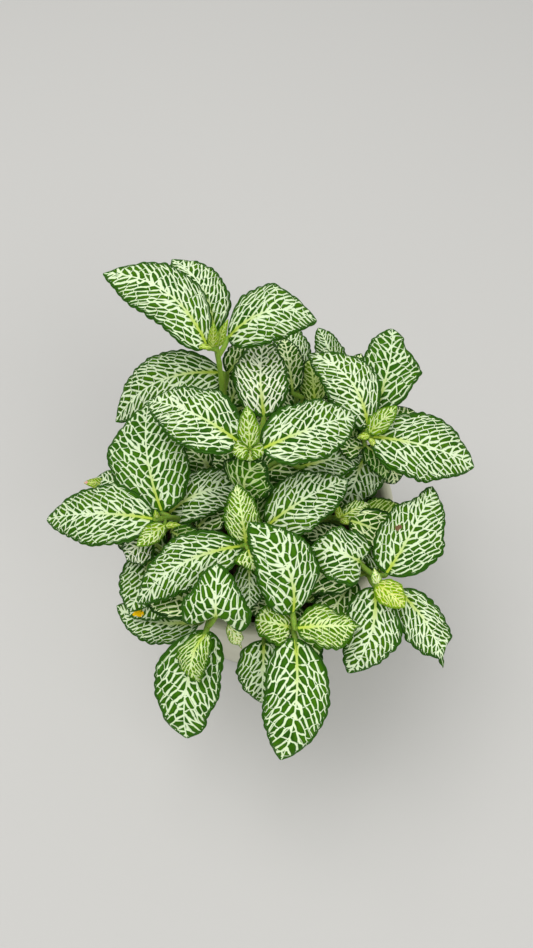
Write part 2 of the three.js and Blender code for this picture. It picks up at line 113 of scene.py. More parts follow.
def leaf(foot, tip, width, arch=3, bend=0, under=0, look="dense", **shape):
    """One leaf of the layout: two pixels with heights, and sizes in millimetres. Small ones are young."""
    if look == "dense" and width < YOUNG_WIDTH:
        look = "bud" if width < BUD_WIDTH else "young"
    return dict(
        foot=seen(foot), tip=seen(tip), width=width, arch=arch, bend=bend, under=under, look=look, **shape
    )


def stem(foot, head, leaves):
    """One stem of the layout: its foot in the soil in millimetres, its head, and its leaves."""
    return dict(foot=foot, head=head, leaves=leaves)


# Leaves with the dim and shade looks carry painted shade, and those with the white look painted light.
STEMS = {
    "centre": stem((-3, 0), (249, 446, 134), [
        leaf((250, 447, 135), (247, 406, 144), 6.5, arch=1),
        leaf((248, 448, 134), (233, 453, 132), 6.2, arch=1, look="young"),
        leaf((252, 449, 134), (264, 453, 132), 5, arch=1, look="young"),
        leaf((250, 449, 133), (250, 461, 130), 5.5, arch=1, look="young"),
        leaf((240, 443, 133), (148, 402, 126), 20, arch=4, bend=1.5),
        leaf((262, 449, 133), (356, 416, 125), 20, arch=4),
        leaf((264, 417, 122), (266, 337, 124), 18, bend=-1.5, under=1, look="white"),
        leaf((300, 467, 110), (363, 456, 106), 13.5, under=2, bow=5),
        leaf((240, 476, 104), (215, 450, 106), 12, under=3, look="dim"),
        leaf((250, 492, 100), (289, 459, 105), 17, under=3, look="dim"),
    ]),
    "back_left": stem((-12, 19), (217, 348, 137), [
        leaf((213, 347, 138), (214, 323, 148), 4.2, arch=0.5),
        leaf((218, 346, 138), (228, 319, 148), 3.4, arch=0.5),
        leaf((212, 348, 138), (196, 348, 137), 2.2, arch=1.5),
        leaf((207, 346, 138), (103, 274, 146), 19, bend=6, lumps=((-1, 0.67, 0.14, 1.8),)),
        leaf((228, 338, 136), (317, 321, 137), 19, arch=6, bend=-4),
        leaf((214, 334, 134), (172, 260, 136), 16.5, bend=3.5, under=1),
        leaf((223, 373, 123), (116, 422, 106), 20, arch=5, bend=5, under=2),
        leaf((228, 373, 119), (256, 347, 116), 12, under=2, look="dim"),
    ]),
    "right": stem((33, 20), (369, 433, 122), [
        leaf((369, 433, 123), (397, 406, 130), 7, arch=1),
        leaf((369, 436, 123), (357, 438, 122), 2.8, arch=1),
        leaf((369, 438, 122), (375, 447, 119), 2.4, arch=1),
        leaf((368, 427, 122), (308, 354, 127), 17, bend=4.5),
        leaf((372, 437, 121), (474, 467, 113), 22, arch=4, bend=-1),
        leaf((374, 412, 117), (392, 329, 120), 19, bend=1.5, under=1, look="open", lumps=(
            (1, 0.52, 0.13, 1.6), (1, 0.78, 0.09, -1.2), (-1, 0.84, 0.12, 1.2), (1, 0.93, 0.06, 1),
        )),
        leaf((363, 458, 103), (347, 506, 97), 18, arch=4, under=3),
        leaf((384, 455, 98), (395, 484, 92), 12, under=4, look="dim"),
    ]),
    "front": stem((2, -26), (295, 628, 106), [
        leaf((293, 613, 108), (249, 522, 122), 19.5, arch=5, bend=4, look="open"),
        leaf((293, 628, 107), (255, 620, 108), 11.5, arch=2, look="fresh", heart=1, lumps=(
            (1, 0.85, 0.12, 1.6), (-1, 0.85, 0.12, 1.2), (-1, 0.3, 0.12, 0.8),
        )),
        leaf((297, 628, 107), (361, 626, 105), 12.5, arch=2, look="fresh", tail=0.12, lumps=(
            (-1, 0.28, 0.14, 0.9), (-1, 0.62, 0.12, -1.3), (1, 0.62, 0.16, 1.4), (1, 0.22, 0.1, -1),
        )),
        leaf((295, 638, 103), (281, 760, 86), 20.5, arch=6, bend=-2.5, under=1, look="open"),
        leaf((264, 640, 95), (262, 703, 86), 17, under=2),
        leaf((292, 602, 96), (250, 612, 94), 10, under=3, look="dim"),
        leaf((312, 592, 93), (356, 589, 90), 10.5, under=3, look="olive"),
        leaf((300, 600, 92), (318, 570, 95), 11, under=4, look="olive"),
    ]),
    "front_left": stem((-15, -24), (209, 626, 108), [
        leaf((216, 627, 110), (217, 563, 120), 20.5, arch=5, look="open", heart=4, lumps=(
            (1, 0.62, 0.22, -2), (-1, 0.62, 0.22, -2),
        )),
        leaf((206, 632, 108), (200, 682, 99), 9.5, arch=4, bend=3, look="fresh"),
        leaf((229, 624, 99), (242, 649, 93), 4.8, arch=1, under=1, look="pale", tail=0.3),
        leaf((206, 630, 105), (187, 738, 90), 20, arch=5, bend=2.5, under=1, look="open", lumps=(
            (1, 0.88, 0.09, 1.5), (-1, 0.88, 0.09, 1.5),
        )),
        leaf((200, 622, 98), (117, 606, 90), 14, bend=-3, under=3),
    ]),
    "front_right": stem((22, -21), (380, 579, 107), [
        leaf((376, 584, 109), (405, 607, 107), 8.4, look="lime"),
        leaf((377, 584, 109), (374, 568, 112), 3.8, arch=1, look="pale"),
        leaf((386, 574, 107), (432, 486, 110), 21.5, bend=1, look="marked", lumps=(
            (-1, 0.42, 0.2, -1.6), (-1, 0.78, 0.16, -2.8),
        )),
        leaf((366, 565, 108), (311, 547, 112), 17, arch=5, under=1, heart=2, lumps=(
            (1, 0.72, 0.2, 1.2), (-1, 0.72, 0.2, 1.4),
        )),
        leaf((375, 588, 106), (348, 673, 93), 17.5, arch=4, bend=-3, under=1),
        leaf((397, 590, 103), (443, 668, 92), 15, arch=4, bend=-2, under=2, tail=0.2, lumps=(
            (-1, 0.45, 0.25, -1.6),
        )),
        leaf((380, 572, 96), (378, 528, 99), 12, under=4),
    ]),
    "left": stem((-20, -9), (160, 519, 114), [
        leaf((165, 525, 113), (137, 546, 113), 6.4, arch=1),
        leaf((166, 526, 113), (181, 525, 114), 2.6, arch=1),
        leaf((157, 517, 115), (155, 510, 119), 2.4, arch=0.5),
        leaf((154, 519, 114), (47, 520, 105), 19.5, arch=4, bend=1),
        leaf((162, 512, 113), (149, 403, 115), 25.5, bend=-2.5, under=1, look="open"),
        leaf((165, 517, 113), (254, 489, 112), 16, arch=5, bend=-3, under=1),
        leaf((150, 537, 105), (127, 560, 100), 12, under=2, look="white"),
        leaf((133, 494, 101), (97, 478, 99), 12, under=3),
        leaf((110, 487, 99), (84, 483, 99), 4.5, under=4, look="blush"),
        leaf((196, 529, 99), (233, 498, 102), 12, under=3, look="dim"),
        leaf((212, 470, 96), (187, 447, 99), 12, under=4, look="dim"),
    ]),
    "middle": stem((-6, -17), (246, 546, 119), [
        leaf((248, 549, 119), (254, 571, 116), 7.4, arch=1, look="fresh", lumps=(
            (1, 0.3, 0.2, 1.4), (-1, 0.3, 0.2, 1.4),
        )),
        leaf((246, 543, 120), (237, 484, 126), 11, arch=2, look="fresh"),
        leaf((242, 546, 118), (138, 604, 108), 16.5, arch=6, bend=3, under=1),
        leaf((267, 526, 113), (348, 481, 112), 18.5, arch=4, bend=-1, under=1),
        leaf((249, 562, 108), (250, 609, 101), 10.5, under=2),
        leaf((228, 565, 100), (200, 541, 98), 13, under=4, look="dim"),
    ]),
    "inner_right": stem((12, -9), (338, 517, 104), [
        leaf((340, 518, 105), (336, 503, 108), 3, arch=1),
        leaf((341, 517, 104), (369, 504, 102), 6, arch=2, look="fresh"),
        leaf((340, 519, 104), (350, 524, 103), 3, arch=1),
        leaf((352, 522, 98), (407, 510, 95), 11.5, under=2, look="olive"),
    ]),
    "low_left": stem((-27, -20), (160, 562, 98), [
        leaf((152, 552, 102), (130, 612, 96), 16, arch=4, bend=-1, under=2),
        leaf((188, 573, 97), (129, 616, 92), 17, arch=4, under=2, look="spotted"),
    ]),
    "back": stem((8, 20), (303, 398, 108), [
        leaf((293, 392, 112), (284, 338, 113), 11, under=2, look="dim"),
        leaf((315, 404, 107), (310, 359, 109), 10, under=2, look="olive", lumps=(
            (1, 0.5, 0.3, 1.6), (-1, 0.5, 0.3, 1.2),
        )),
        leaf((300, 372, 100), (282, 325, 104), 14, under=4),
    ]),
    "back_right": stem((20, 27), (349, 396, 104), [
        leaf((339, 374, 106), (318, 328, 110), 10, under=2),
        leaf((347, 400, 102), (325, 371, 104), 13, under=4, look="dim"),
    ]),
}
POT_DIAMETER = 100
BASE_DIAMETER = 91
POT_HEIGHT = 78
WALL = 4.5
FLOOR = 5
INNER_CORNER = 4
SOIL_HEIGHT = 66
STEM_DIAMETER = 3.4
PETIOLE_DIAMETER = 1.8
BLADE_GAP = 2.2
STEM_SUNK = 14
print("leaves in the layout", sum(len(plan["leaves"]) for plan in STEMS.values()))

# %% [markdown]
# ## Stems as curves
#
# A stem comes upright out of the soil and leans out to its head: a quadratic curve
# P(t) = (1 - t)^2 root + 2 (1 - t) t knee + t^2 top. The blades are held by petioles that leave
# the stem a little below them, so a curve is also asked for its point at a height.

# %% Stem curves
KNEE_OUT = 0.3
KNEE_UP = 0.75
HALVINGS = 30


def stem_curve(plan):
    """The root, knee and top of a stem's curve."""
    root = np.array([*plan["foot"], SOIL_HEIGHT - STEM_SUNK], float)
    top = seen(plan["head"])
    knee = root + KNEE_OUT * (top - root)
    knee[2] = root[2] + KNEE_UP * (top[2] - root[2])
    return root, knee, top


def curve_point(curve, share):
    """P(t) on the curve, for one share t or an array of them."""
    root, knee, top = curve
    share = np.asarray(share, float)[..., None]
    return (1 - share) ** 2 * root + 2 * (1 - share) * share * knee + share**2 * top


def stem_at(curve, height):
    """The curve's points at the heights, or the nearest that it has, by halving steps."""
    height = np.asarray(height, float)
    low = np.zeros(height.shape)
    high = np.ones(height.shape)
    for _ in range(HALVINGS):
        middle = (low + high) / 2
        below = curve_point(curve, middle)[..., 2] < height
        low = np.where(below, middle, low)
        high = np.where(below, high, middle)
    return curve_point(curve, high)


def wall_at(height):
    """The inner wall's radius at a height: straight from the corner to the rim."""
    foot = FLOOR + INNER_CORNER
    share = (height - foot) / (POT_HEIGHT - WALL / 2 - foot)
    return (1 - share) * (BASE_DIAMETER / 2 - WALL) + share * (POT_DIAMETER / 2 - WALL)


# %% [markdown]
# ## The blade's surface
#
# A blade is a function of two parameters: along (0 at the foot, 1 at the tip) and across (-1 at the
# left edge, 1 at the right). Its outline is along^a (1 - along)^b, which is round at the foot and
# drawn out at the tip. Across, it rises in a shallow V from the midrib and its edges turn down in
# waves.

# %% The blade's surface
FOOT_FULL = 0.55
TIP_FULL = 0.8
WIDEST = FOOT_FULL / (FOOT_FULL + TIP_FULL)
PEAK = WIDEST**FOOT_FULL * (1 - WIDEST) ** TIP_FULL
FOLD_RISE = 0.3
FOLD_FALL = 0.42
WAVE_HEIGHT = 0.55
WAVES = 2.5
WAVE_SLANT = 2
WAVE_HALF_WIDTH = 10


def reach(along):
    """Half-width over its largest value: along^a (1 - along)^b / peak."""
    return along**FOOT_FULL * (1 - along) ** TIP_FULL / PEAK


def smooth(share):
    """A share that starts and ends gently: share^2 (3 - 2 share)."""
    return share**2 * (3 - 2 * share)


def finish_blade(blade):
    """Adds a blade's length and axes: along it, up from its upper face, and across to its right."""
    span = blade["tip"] - blade["foot"]
    axis = unit(span)
    facing = unit(EYE - blade["foot"]) + SKY
    normal = unit(facing - axis * (facing @ axis))
    blade.update(length=np.linalg.norm(span), axis=axis, normal=normal, side=np.cross(axis, normal))
    blade["push"] = (0.0, 0.0)
    return blade


def blade_surface(blade, along, across):
    """Points of the blade's middle surface, before it is moved back behind its neighbours."""
    hump = 4 * along * (1 - along)
    half = blade["width"] / 2 * reach(along)
    wave = WAVE_HEIGHT * np.sin(2 * np.pi * WAVES * along + WAVE_SLANT * across) * half / WAVE_HALF_WIDTH
    rise = half * (FOLD_RISE * np.abs(across) - FOLD_FALL * across**2) + wave * across**2
    straight = blade["foot"] + along[..., None] * (blade["tip"] - blade["foot"])
    lift = (blade["arch"] * hump + rise)[..., None] * blade["normal"]
    return straight + lift + (blade["bend"] * hump + half * across)[..., None] * blade["side"]


def placed_surface(blade, along, across):
    """Points moved back along the lines of sight by push_foot + (push_tip - push_foot) smooth(along)."""
    points = blade_surface(blade, along, across)
    push_foot, push_tip = blade["push"]
    push = push_foot + (push_tip - push_foot) * smooth(along)
    ray = points - EYE
    return points + ray * (push / (ray @ FORWARD))[..., None]


# %% [markdown]
# ## Layers that never cross
#
# From the viewpoint the blades lie in layers. A map of the picture in square cells keeps the depth
# of the deepest blade laid so far, and the next blade is moved back along the lines of sight until
# it clears that depth by a gap. Two surfaces that cross would have to share a line of sight at one
# depth, so none can. Small young leaves at the heads stay where the layout puts them.

# %% Layers
CELL = 3
MAP_SIDE = 256
SAMPLES_ALONG = 36
SAMPLES_ACROSS = 24
FIRST_ROW = 5
depth_map = np.zeros((MAP_SIDE, MAP_SIDE))


def samples(rows, columns):
    """An even grid over a blade: along from 0 to 1, across from -1 to 1."""
    return np.meshgrid(
        np.arange(rows + 1) / rows, 2 * np.arange(columns + 1) / columns - 1, indexing="ij"
    )


def sight(points):
    """The map cells and depths at which the viewpoint sees the points."""
    offset = points - EYE
    depth = offset @ FORWARD
    column = np.floor(FOCAL * offset[..., 0] / depth / CELL).astype(int) + MAP_SIDE // 2
    row = np.floor(FOCAL * (offset @ UPWARD) / depth / CELL).astype(int) + MAP_SIDE // 2
    return (column, row), depth


def depth_around():
    """For each cell, the deepest of it and its eight neighbours."""
    steps = [(x, y) for x in (-1, 0, 1) for y in (-1, 0, 1)]
    return np.max([np.roll(depth_map, step, axis=(0, 1)) for step in steps], axis=0)


def lay_blade(blade):
    """Chooses how far back the blade's foot and tip go, and adds the blade to the map."""
    along, across = samples(SAMPLES_ALONG, SAMPLES_ACROSS)
    rows = slice(FIRST_ROW, SAMPLES_ALONG)
    cells, depth = sight(blade_surface(blade, along[rows], across[rows]))
    need = np.maximum(depth_around()[cells] + BLADE_GAP - depth, 0).max(axis=1)
    place = along[rows, 0]
    push_foot = need[place < 0.5].max()
    push_tip = need.max()
    given = push_foot + (push_tip - push_foot) * smooth(place)
    missing = max(0, (need - given).max())
    blade["push"] = (push_foot + missing, push_tip + missing)
    cells, depth = sight(placed_surface(blade, along, across))
    np.maximum.at(depth_map, cells, depth)


shoots = {}
for name, plan in STEMS.items():
    blades = [finish_blade(blade) for blade in plan["leaves"]]
    shoots[name] = dict(curve=stem_curve(plan), blades=blades)
layers = [blade for shoot in shoots.values() for blade in shoot["blades"]]
layers = [blade for blade in layers if blade["width"] > YOUNG_WIDTH]
for blade in sorted(layers, key=lambda blade: blade["under"]):
    lay_blade(blade)
print("largest move back", round(max(max(blade["push"]) for blade in layers), 1), "mm")

# %% [markdown]
# ## Older leaves low on the stems
#
# Under the crown the plant still has leaves, mostly out of sight. Each takes the first of several
# turns about its stem where it has room: clear of soil, pot, other stems and other blades. The
# turns come from one seeded series, so every run grows the same plant.

# %% Low leaves
LOW_LEAVES = [
    dict(height=104, length=25, width=14, drop=4),
    dict(height=99, length=26, width=14, drop=5),
    dict(height=94, length=26, width=14, drop=4),
    dict(height=89, length=25, width=14, drop=3),
    dict(height=84, length=23, width=13, drop=1),
]
LOW_TRIES = 10
LOW_SEED = 20
LOW_PETIOLE = 4
LEAST_LENGTH = 0.85
LENGTH_SPREAD = 0.3
LEAST_DROP = 0.5
LOW_CLEARANCE = 2.6
STEM_CLEARANCE = LOW_CLEARANCE + 1
WALL_CLEARANCE = 3
SOIL_LUMPS = 2
SPREAD_GRID = (12, 6)
MULTIPLIER = 16807
MODULUS = 2**31 - 1


def series(seed):
    """An endless seeded series of numbers from 0 to 1: seed -> multiplier seed mod modulus."""
    while True:
        seed = seed * MULTIPLIER % MODULUS
        yield seed / MODULUS


draws = series(LOW_SEED)


def low_leaf(curve, height, length, width, drop):
    """One try at a low leaf: it points outward from the stem at a drawn turn."""
    turn = 2 * np.pi * next(draws)
    outward = np.array([np.cos(turn), np.sin(turn), 0])
    node = stem_at(curve, height)
    tip = node + outward * (LOW_PETIOLE + length * (LEAST_LENGTH + LENGTH_SPREAD * next(draws)))
    tip[2] -= drop * (LEAST_DROP + next(draws))
    # Low leaves take the dim look, whose colours hold painted shade.
    return dict(
        foot=node + outward * LOW_PETIOLE, tip=tip, width=width, arch=2, bend=0, look="dim", low=True,
    )


def has_room(points, own_curve, taken):
    """Whether the points clear the soil, the pot, the other stems and the blades already there."""
    inside = np.hypot(points[:, 0], points[:, 1]) < wall_at(SOIL_HEIGHT) - WALL_CLEARANCE
    floor = np.where(inside, SOIL_HEIGHT + SOIL_LUMPS, POT_HEIGHT)
    cells, _ = sight(points)
    hidden = inside | (around[cells] > 0)
    if not np.all(hidden & (points[:, 2] > floor + LOW_CLEARANCE)):
        return False
    for shoot in shoots.values():
        if shoot["curve"] is own_curve:
            continue
        apart = np.linalg.norm(points - stem_at(shoot["curve"], points[:, 2]), axis=1)
        if np.any(apart <= STEM_CLEARANCE):
            return False
    apart = np.linalg.norm(points[:, None] - taken[None], axis=2)
    return bool(np.all(apart > LOW_CLEARANCE))


def spread(blade):
    """Points all over a blade."""
    return placed_surface(blade, *samples(*SPREAD_GRID)).reshape(-1, 3)


around = depth_around()
taken = np.concatenate([spread(blade) for blade in layers])
low_count = 0
for size in LOW_LEAVES:
    for shoot in shoots.values():
        for _ in range(LOW_TRIES):
            blade = finish_blade(low_leaf(shoot["curve"], **size))
            points = spread(blade)
            if has_room(points, shoot["curve"], taken):
                shoot["blades"].append(blade)
                taken = np.concatenate([taken, points])
                low_count += 1
                break
print("low leaves", low_count)

# %% [markdown]
# ## Leaves that close dark gaps
#
# The picture shows small leaves where a stem or the soil would show between the large ones. These
# few are put at heights where they have room, so they are not moved back. The print tells how far
# each is from the other blades and from the middle of its own stem, because it must touch neither.

# %% Filling leaves
# These leaves take the dim and shade looks, which hold painted shade.
FILLING_LEAVES = [
    ("right", leaf((363, 447, 112), (335, 441, 115), 8, arch=1, bend=-1.4, look="dim")),
    ("right", leaf((366, 446, 115), (386, 480, 109), 9, arch=1, bend=-1.6, look="shade")),
    ("right", leaf((358, 446, 87), (354, 414, 95), 12, arch=1, bend=-1.5, look="shade")),
    ("inner_right", leaf((347, 536, 99), (296, 526, 104), 9, arch=1, bend=-1.5, look="dim")),
    ("centre", leaf((246, 496, 116), (263, 461, 129), 17, arch=1, bend=-2.5, look="shade")),
    ("left", leaf((172, 532, 107), (207, 542, 110), 9, arch=1, bend=0.8, look="shade")),
    ("middle", leaf((258, 523, 107), (260, 493, 109), 10, arch=1, bend=-0.6, look="shade")),
]
for name, blade in FILLING_LEAVES:
    curve = shoots[name]["curve"]
    points = spread(finish_blade(blade))
    to_stem = np.linalg.norm(points - stem_at(curve, points[:, 2]), axis=1).min()
    to_blades = np.linalg.norm(points[:, None] - taken[None], axis=2).min()
    print(name, "blade: to its stem", round(to_stem, 1), "mm, to other blades", round(to_blades, 1), "mm")
    taken = np.concatenate([taken, points])
    shoots[name]["blades"].append(blade)

# %% [markdown]
# ## Meshes from grids
#
# Every surface here is a grid of points, so one helper turns grids into a mesh: it joins each
# point to its neighbours with four-sided faces. A piece may bring its own UV coordinates and numbers
# for its material.

# %% Mesh helpers


def grid_faces(rows, columns, start=0, closed=False):
    """Faces of a grid of rows by columns points, numbered from start. closed joins its sides."""
    index = np.arange(rows * columns).reshape(rows, columns) + start
    if closed:
        index = np.column_stack([index, index[:, 0]])
    corners = [index[:-1, :-1], index[1:, :-1], index[1:, 1:], index[:-1, 1:]]
    return np.stack(corners, axis=-1).reshape(-1, 4)


def capped(rings, first_pole, last_pole):
    """Points and faces of a closed surface: rings (rows, sides, 3) between a point at either end."""
    rows, sides, _ = rings.shape
    points = np.concatenate([rings.reshape(-1, 3), [first_pole, last_pole]])
    around_ring = np.arange(sides)
    following = np.roll(around_ring, -1)
    last = (rows - 1) * sides
    first_fan = np.stack([0 * around_ring + rows * sides, following, around_ring], axis=1)
    last_fan = np.stack([0 * around_ring + rows * sides + 1, last + around_ring, last + following], axis=1)
    return points, [grid_faces(rows, sides, closed=True)[:, ::-1], np.concatenate([first_fan, last_fan])]


def joined(parts):
    """One array of points and one list of face blocks from several closed surfaces."""
    starts = np.cumsum([0] + [len(points) for points, _ in parts[:-1]])
    faces = [block + start for (_, blocks), start in zip(parts, starts) for block in blocks]
    return np.concatenate([points for points, _ in parts]), faces


def make_piece(name, points, faces, material, uv=None, attributes=None):
    """A smooth mesh object in metres from points in millimetres, with its UVs and attributes."""
    mesh = bpy.data.meshes.new(name)
    mesh.from_pydata((points * MM).tolist(), [], sum((block.tolist() for block in faces), []))
    mesh.shade_smooth()
    if uv is not None:
        layer = mesh.uv_layers.new(name="uv")
        corner = np.empty(len(mesh.loops), int)
        mesh.loops.foreach_get("vertex_index", corner)
        layer.data.foreach_set("uv", uv[corner].astype(np.float32).ravel())
    for key, values in (attributes or {}).items():
        attribute = mesh.attributes.new(key, "FLOAT_VECTOR", "POINT")
        attribute.data.foreach_set("vector", values.astype(np.float32).ravel())
    mesh.materials.append(material)
    mesh.update()
    piece = bpy.data.objects.new(name, mesh)
    bpy.context.collection.objects.link(piece)
    return piece


# %% [markdown]
# ## Leaf material
#
# A nerve plant's leaf is dark green with a raised net of white veins. A picture of it would blur
# close up, so the shader draws the net from numbers that each leaf carries at every point. `net` is
# the place in the net: rows, which run from the midrib out towards the tip, steps along a row, and
# the width of a row. `place` is along, across and the distance to the edge. `trait` is the distance
# to the midrib, the leaf's own tone, and 1 on the upper face or 0 on the lower. The helpers below
# keep the making of every material short.

# %% Node helpers


class Nodes:
    """Shorthand for building a material's node tree."""

    def __init__(self, name):
        self.material = bpy.data.materials.new(name)
        self.material.use_nodes = True
        self.tree = self.material.node_tree
        self.tree.nodes.clear()
        self.shader = self.tree.nodes.new("ShaderNodeBsdfPrincipled")
        self.node("ShaderNodeOutputMaterial", {"Surface": self.shader.outputs[0]})

    def put(self, target, value):
        """Links an output to an input, or sets a plain value."""
        if isinstance(value, bpy.types.NodeSocket):
            self.tree.links.new(value, target)
        else:
            target.default_value = value

    def node(self, kind, inputs, **settings):
        """A new node with its settings, and with its inputs in order or by name."""
        made = self.tree.nodes.new(kind)
        for setting, value in settings.items():
            setattr(made, setting, value)
        for key, value in inputs.items() if isinstance(inputs, dict) else enumerate(inputs):
            self.put(made.inputs[key], value)
        return made

    def surface(self, values):
        """Sets inputs of the shader by name."""
        for name, value in values.items():
            self.put(self.shader.inputs[name], value)

    def math(self, operation, *values):
        """A Math node."""
        return self.node("ShaderNodeMath", values, operation=operation).outputs[0]

    def plus(self, first, second):
        """The sum of two values."""
        return self.math("ADD", first, second)

    def minus(self, first, second):
        """The difference of two values."""
        return self.math("SUBTRACT", first, second)

    def times(self, first, second):
        """The product of two values."""
        return self.math("MULTIPLY", first, second)

    def length(self, x, y):
        """sqrt(x^2 + y^2)."""
        return self.math("SQRT", self.plus(self.times(x, x), self.times(y, y)))

    def ramp(self, value, low, high, to_low=0.0, to_high=1.0):
        """A smooth step from to_low at low to to_high at high."""
        inputs = {"Value": value, "From Min": low, "From Max": high, "To Min": to_low, "To Max": to_high}
        made = self.node("ShaderNodeMapRange", inputs, interpolation_type="SMOOTHSTEP")
        return made.outputs["Result"]

    def mix(self, share, first, second):
        """A colour between two, by share."""
        made = self.node("ShaderNodeMix", (), data_type="RGBA")
        sockets = {socket.identifier: socket for socket in made.inputs}
        for name, value in (("Factor_Float", share), ("A_Color", first), ("B_Color", second)):
            self.put(sockets[name], value)
        return next(socket for socket in made.outputs if socket.identifier == "Result_Color")

    def vector(self, operation, *values):
        """A Vector Math node."""
        return self.node("ShaderNodeVectorMath", values, operation=operation).outputs[0]

    def split(self, vector):
        """The three numbers of a vector."""
        return list(self.node("ShaderNodeSeparateXYZ", [vector]).outputs)

    def join(self, *values):
        """A vector of up to three numbers."""
        return self.node("ShaderNodeCombineXYZ", values).outputs[0]

    def attribute(self, name):
        """The piece's own attribute, a vector."""
        return self.node("ShaderNodeAttribute", (), attribute_name=name).outputs["Vector"]

    def object_place(self):
        """Object coordinates, in metres."""
        return self.node("ShaderNodeTexCoord", ()).outputs["Object"]

    def noise(self, vector, scale, detail=2.0, roughness=0.5):
        """A Noise texture's value, about 0.5, and its colour."""
        inputs = {"Vector": vector, "Scale": scale, "Detail": detail, "Roughness": roughness}
        made = self.node("ShaderNodeTexNoise", inputs)
        return made.outputs["Fac"], made.outputs["Color"]

    def chance(self, number, seed):
        """An even random number from 0 to 1 for each whole number."""
        inputs = {"Vector": self.join(number, seed)}
        return self.node("ShaderNodeTexWhiteNoise", inputs, noise_dimensions="2D").outputs["Value"]

    def voronoi(self, vector, scale, feature, randomness, dimensions="2D"):
        """A Voronoi texture's outputs."""
        inputs = {"Vector": vector, "Scale": scale, "Randomness": randomness}
        settings = dict(voronoi_dimensions=dimensions, feature=feature)
        return self.node("ShaderNodeTexVoronoi", inputs, **settings).outputs

    def warp(self, vector, scale, amount):
        """The vector moved about by noise."""
        _, colour = self.noise(vector, scale)
        centred = self.vector("SUBTRACT", colour, (0.5, 0.5, 0.5))
        return self.vector("MULTIPLY_ADD", centred, (amount, amount, 0), vector)

    def bump(self, height, distance, strength):
        """Sets the surface's normal from a height in shares of distance, in metres."""
        inputs = {"Height": height, "Distance": distance, "Strength": strength}
        self.surface({"Normal": self.node("ShaderNodeBump", inputs).outputs[0]})


def rgb(red, green, blue):
    """A colour from 8-bit screen values, made linear: ((c + 0.055) / 1.055)^2.4."""
    screen = np.array([red, green, blue]) / 255
    linear = np.where(screen <= 0.04045, screen / 12.92, ((screen + 0.055) / 1.055) ** 2.4)
    return (*linear.tolist(), 1.0)


# %% [markdown]
# ## The net of veins
#
# Distances here are shares of a row's width. Cells are the areas nearest to scattered points, which
# is how such nets look. A Voronoi texture tells the nearest point and the next one, and the line
# halfway between them is the vein. Cells are longer along the rows, so the distance to that line is
# measured with the cells' own proportions. Veins along the rows are wider than the links between
# them, and every second row has a long vein of its own from the midrib to the edge. Close to the
# edge finer lines join in and the links stop, which leaves a fringe of fine teeth before the plain
# dark margin.

# %% The net of veins
SCATTER = 0.75
LEAST_ROUNDING = 0.62
PLAIN_STRETCH = 2.6
SIDE_SHIFT = 40.0
BROAD_WARP = (0.3, 1.0)
FINE_WARP = (1.2, 0.25)
WIDTH_AT_RIB = 1.1
WIDTH_AT_EDGE = 0.85
LINK_WIDTH = 0.64
ROW_VEIN_WIDTH = 1.2
FRINGE = (0.5, 1.2)
LINK_FADE = 0.8
LONG_VEIN_EVERY = 2
LONG_VEIN_WIDTH = 0.65
FINE_LINE_EVERY = 0.6
FINE_LINE_WIDTH = 0.68
FINE_LINES = (0.8, 1.5)
FINE_LINE_FADE = 0.6
MERGE = 0.06
TEETH_PER_ROW = 1.7
TOOTH_SEED = 3.0
LEAST_MARGIN = 0.4
MARGIN_SPREAD = 0.65
RIB_AT_FOOT = 0.5
RIB_AT_TIP = 0.2


def cell_gap(nodes, x, y, stretch):
    """The gap to the line between the two nearest points, and how far that line runs along the rows.

    The gap is (halfway - point) . (far - near) / size, made less where veins meet.
    """
    spot = nodes.join(x, y)
    found = [nodes.voronoi(spot, 1.0, feature, SCATTER) for feature in ("F1", "F2")]
    (near_x, near_y, _), (far_x, far_y, _) = (nodes.split(outputs["Position"]) for outputs in found)
    both = nodes.plus(*(outputs["Distance"] for outputs in found))
    run = nodes.minus(far_x, near_x)
    rise = nodes.minus(far_y, near_y)
    halfway_x = nodes.times(nodes.plus(far_x, near_x), 0.5)
    halfway_y = nodes.times(nodes.plus(far_y, near_y), 0.5)
    reached_x = nodes.times(nodes.minus(halfway_x, x), run)
    reached_y = nodes.times(nodes.minus(halfway_y, y), rise)
    size = nodes.length(run, nodes.math("DIVIDE", rise, stretch))
    steep = nodes.math("DIVIDE", nodes.math("ABSOLUTE", run), size)
    rounding = nodes.math("MAXIMUM", nodes.math("DIVIDE", nodes.length(run, rise), both), LEAST_ROUNDING)
    gap = nodes.math("DIVIDE", nodes.plus(reached_x, reached_y), size)
    return nodes.times(gap, rounding), steep


def line_gap(nodes, x, every, half):
    """The gap to straight lines along the rows, one every so many rows."""
    away = nodes.math("PINGPONG", nodes.minus(x, (1 + SCATTER) / 2), every / 2)
    return nodes.minus(away, half)


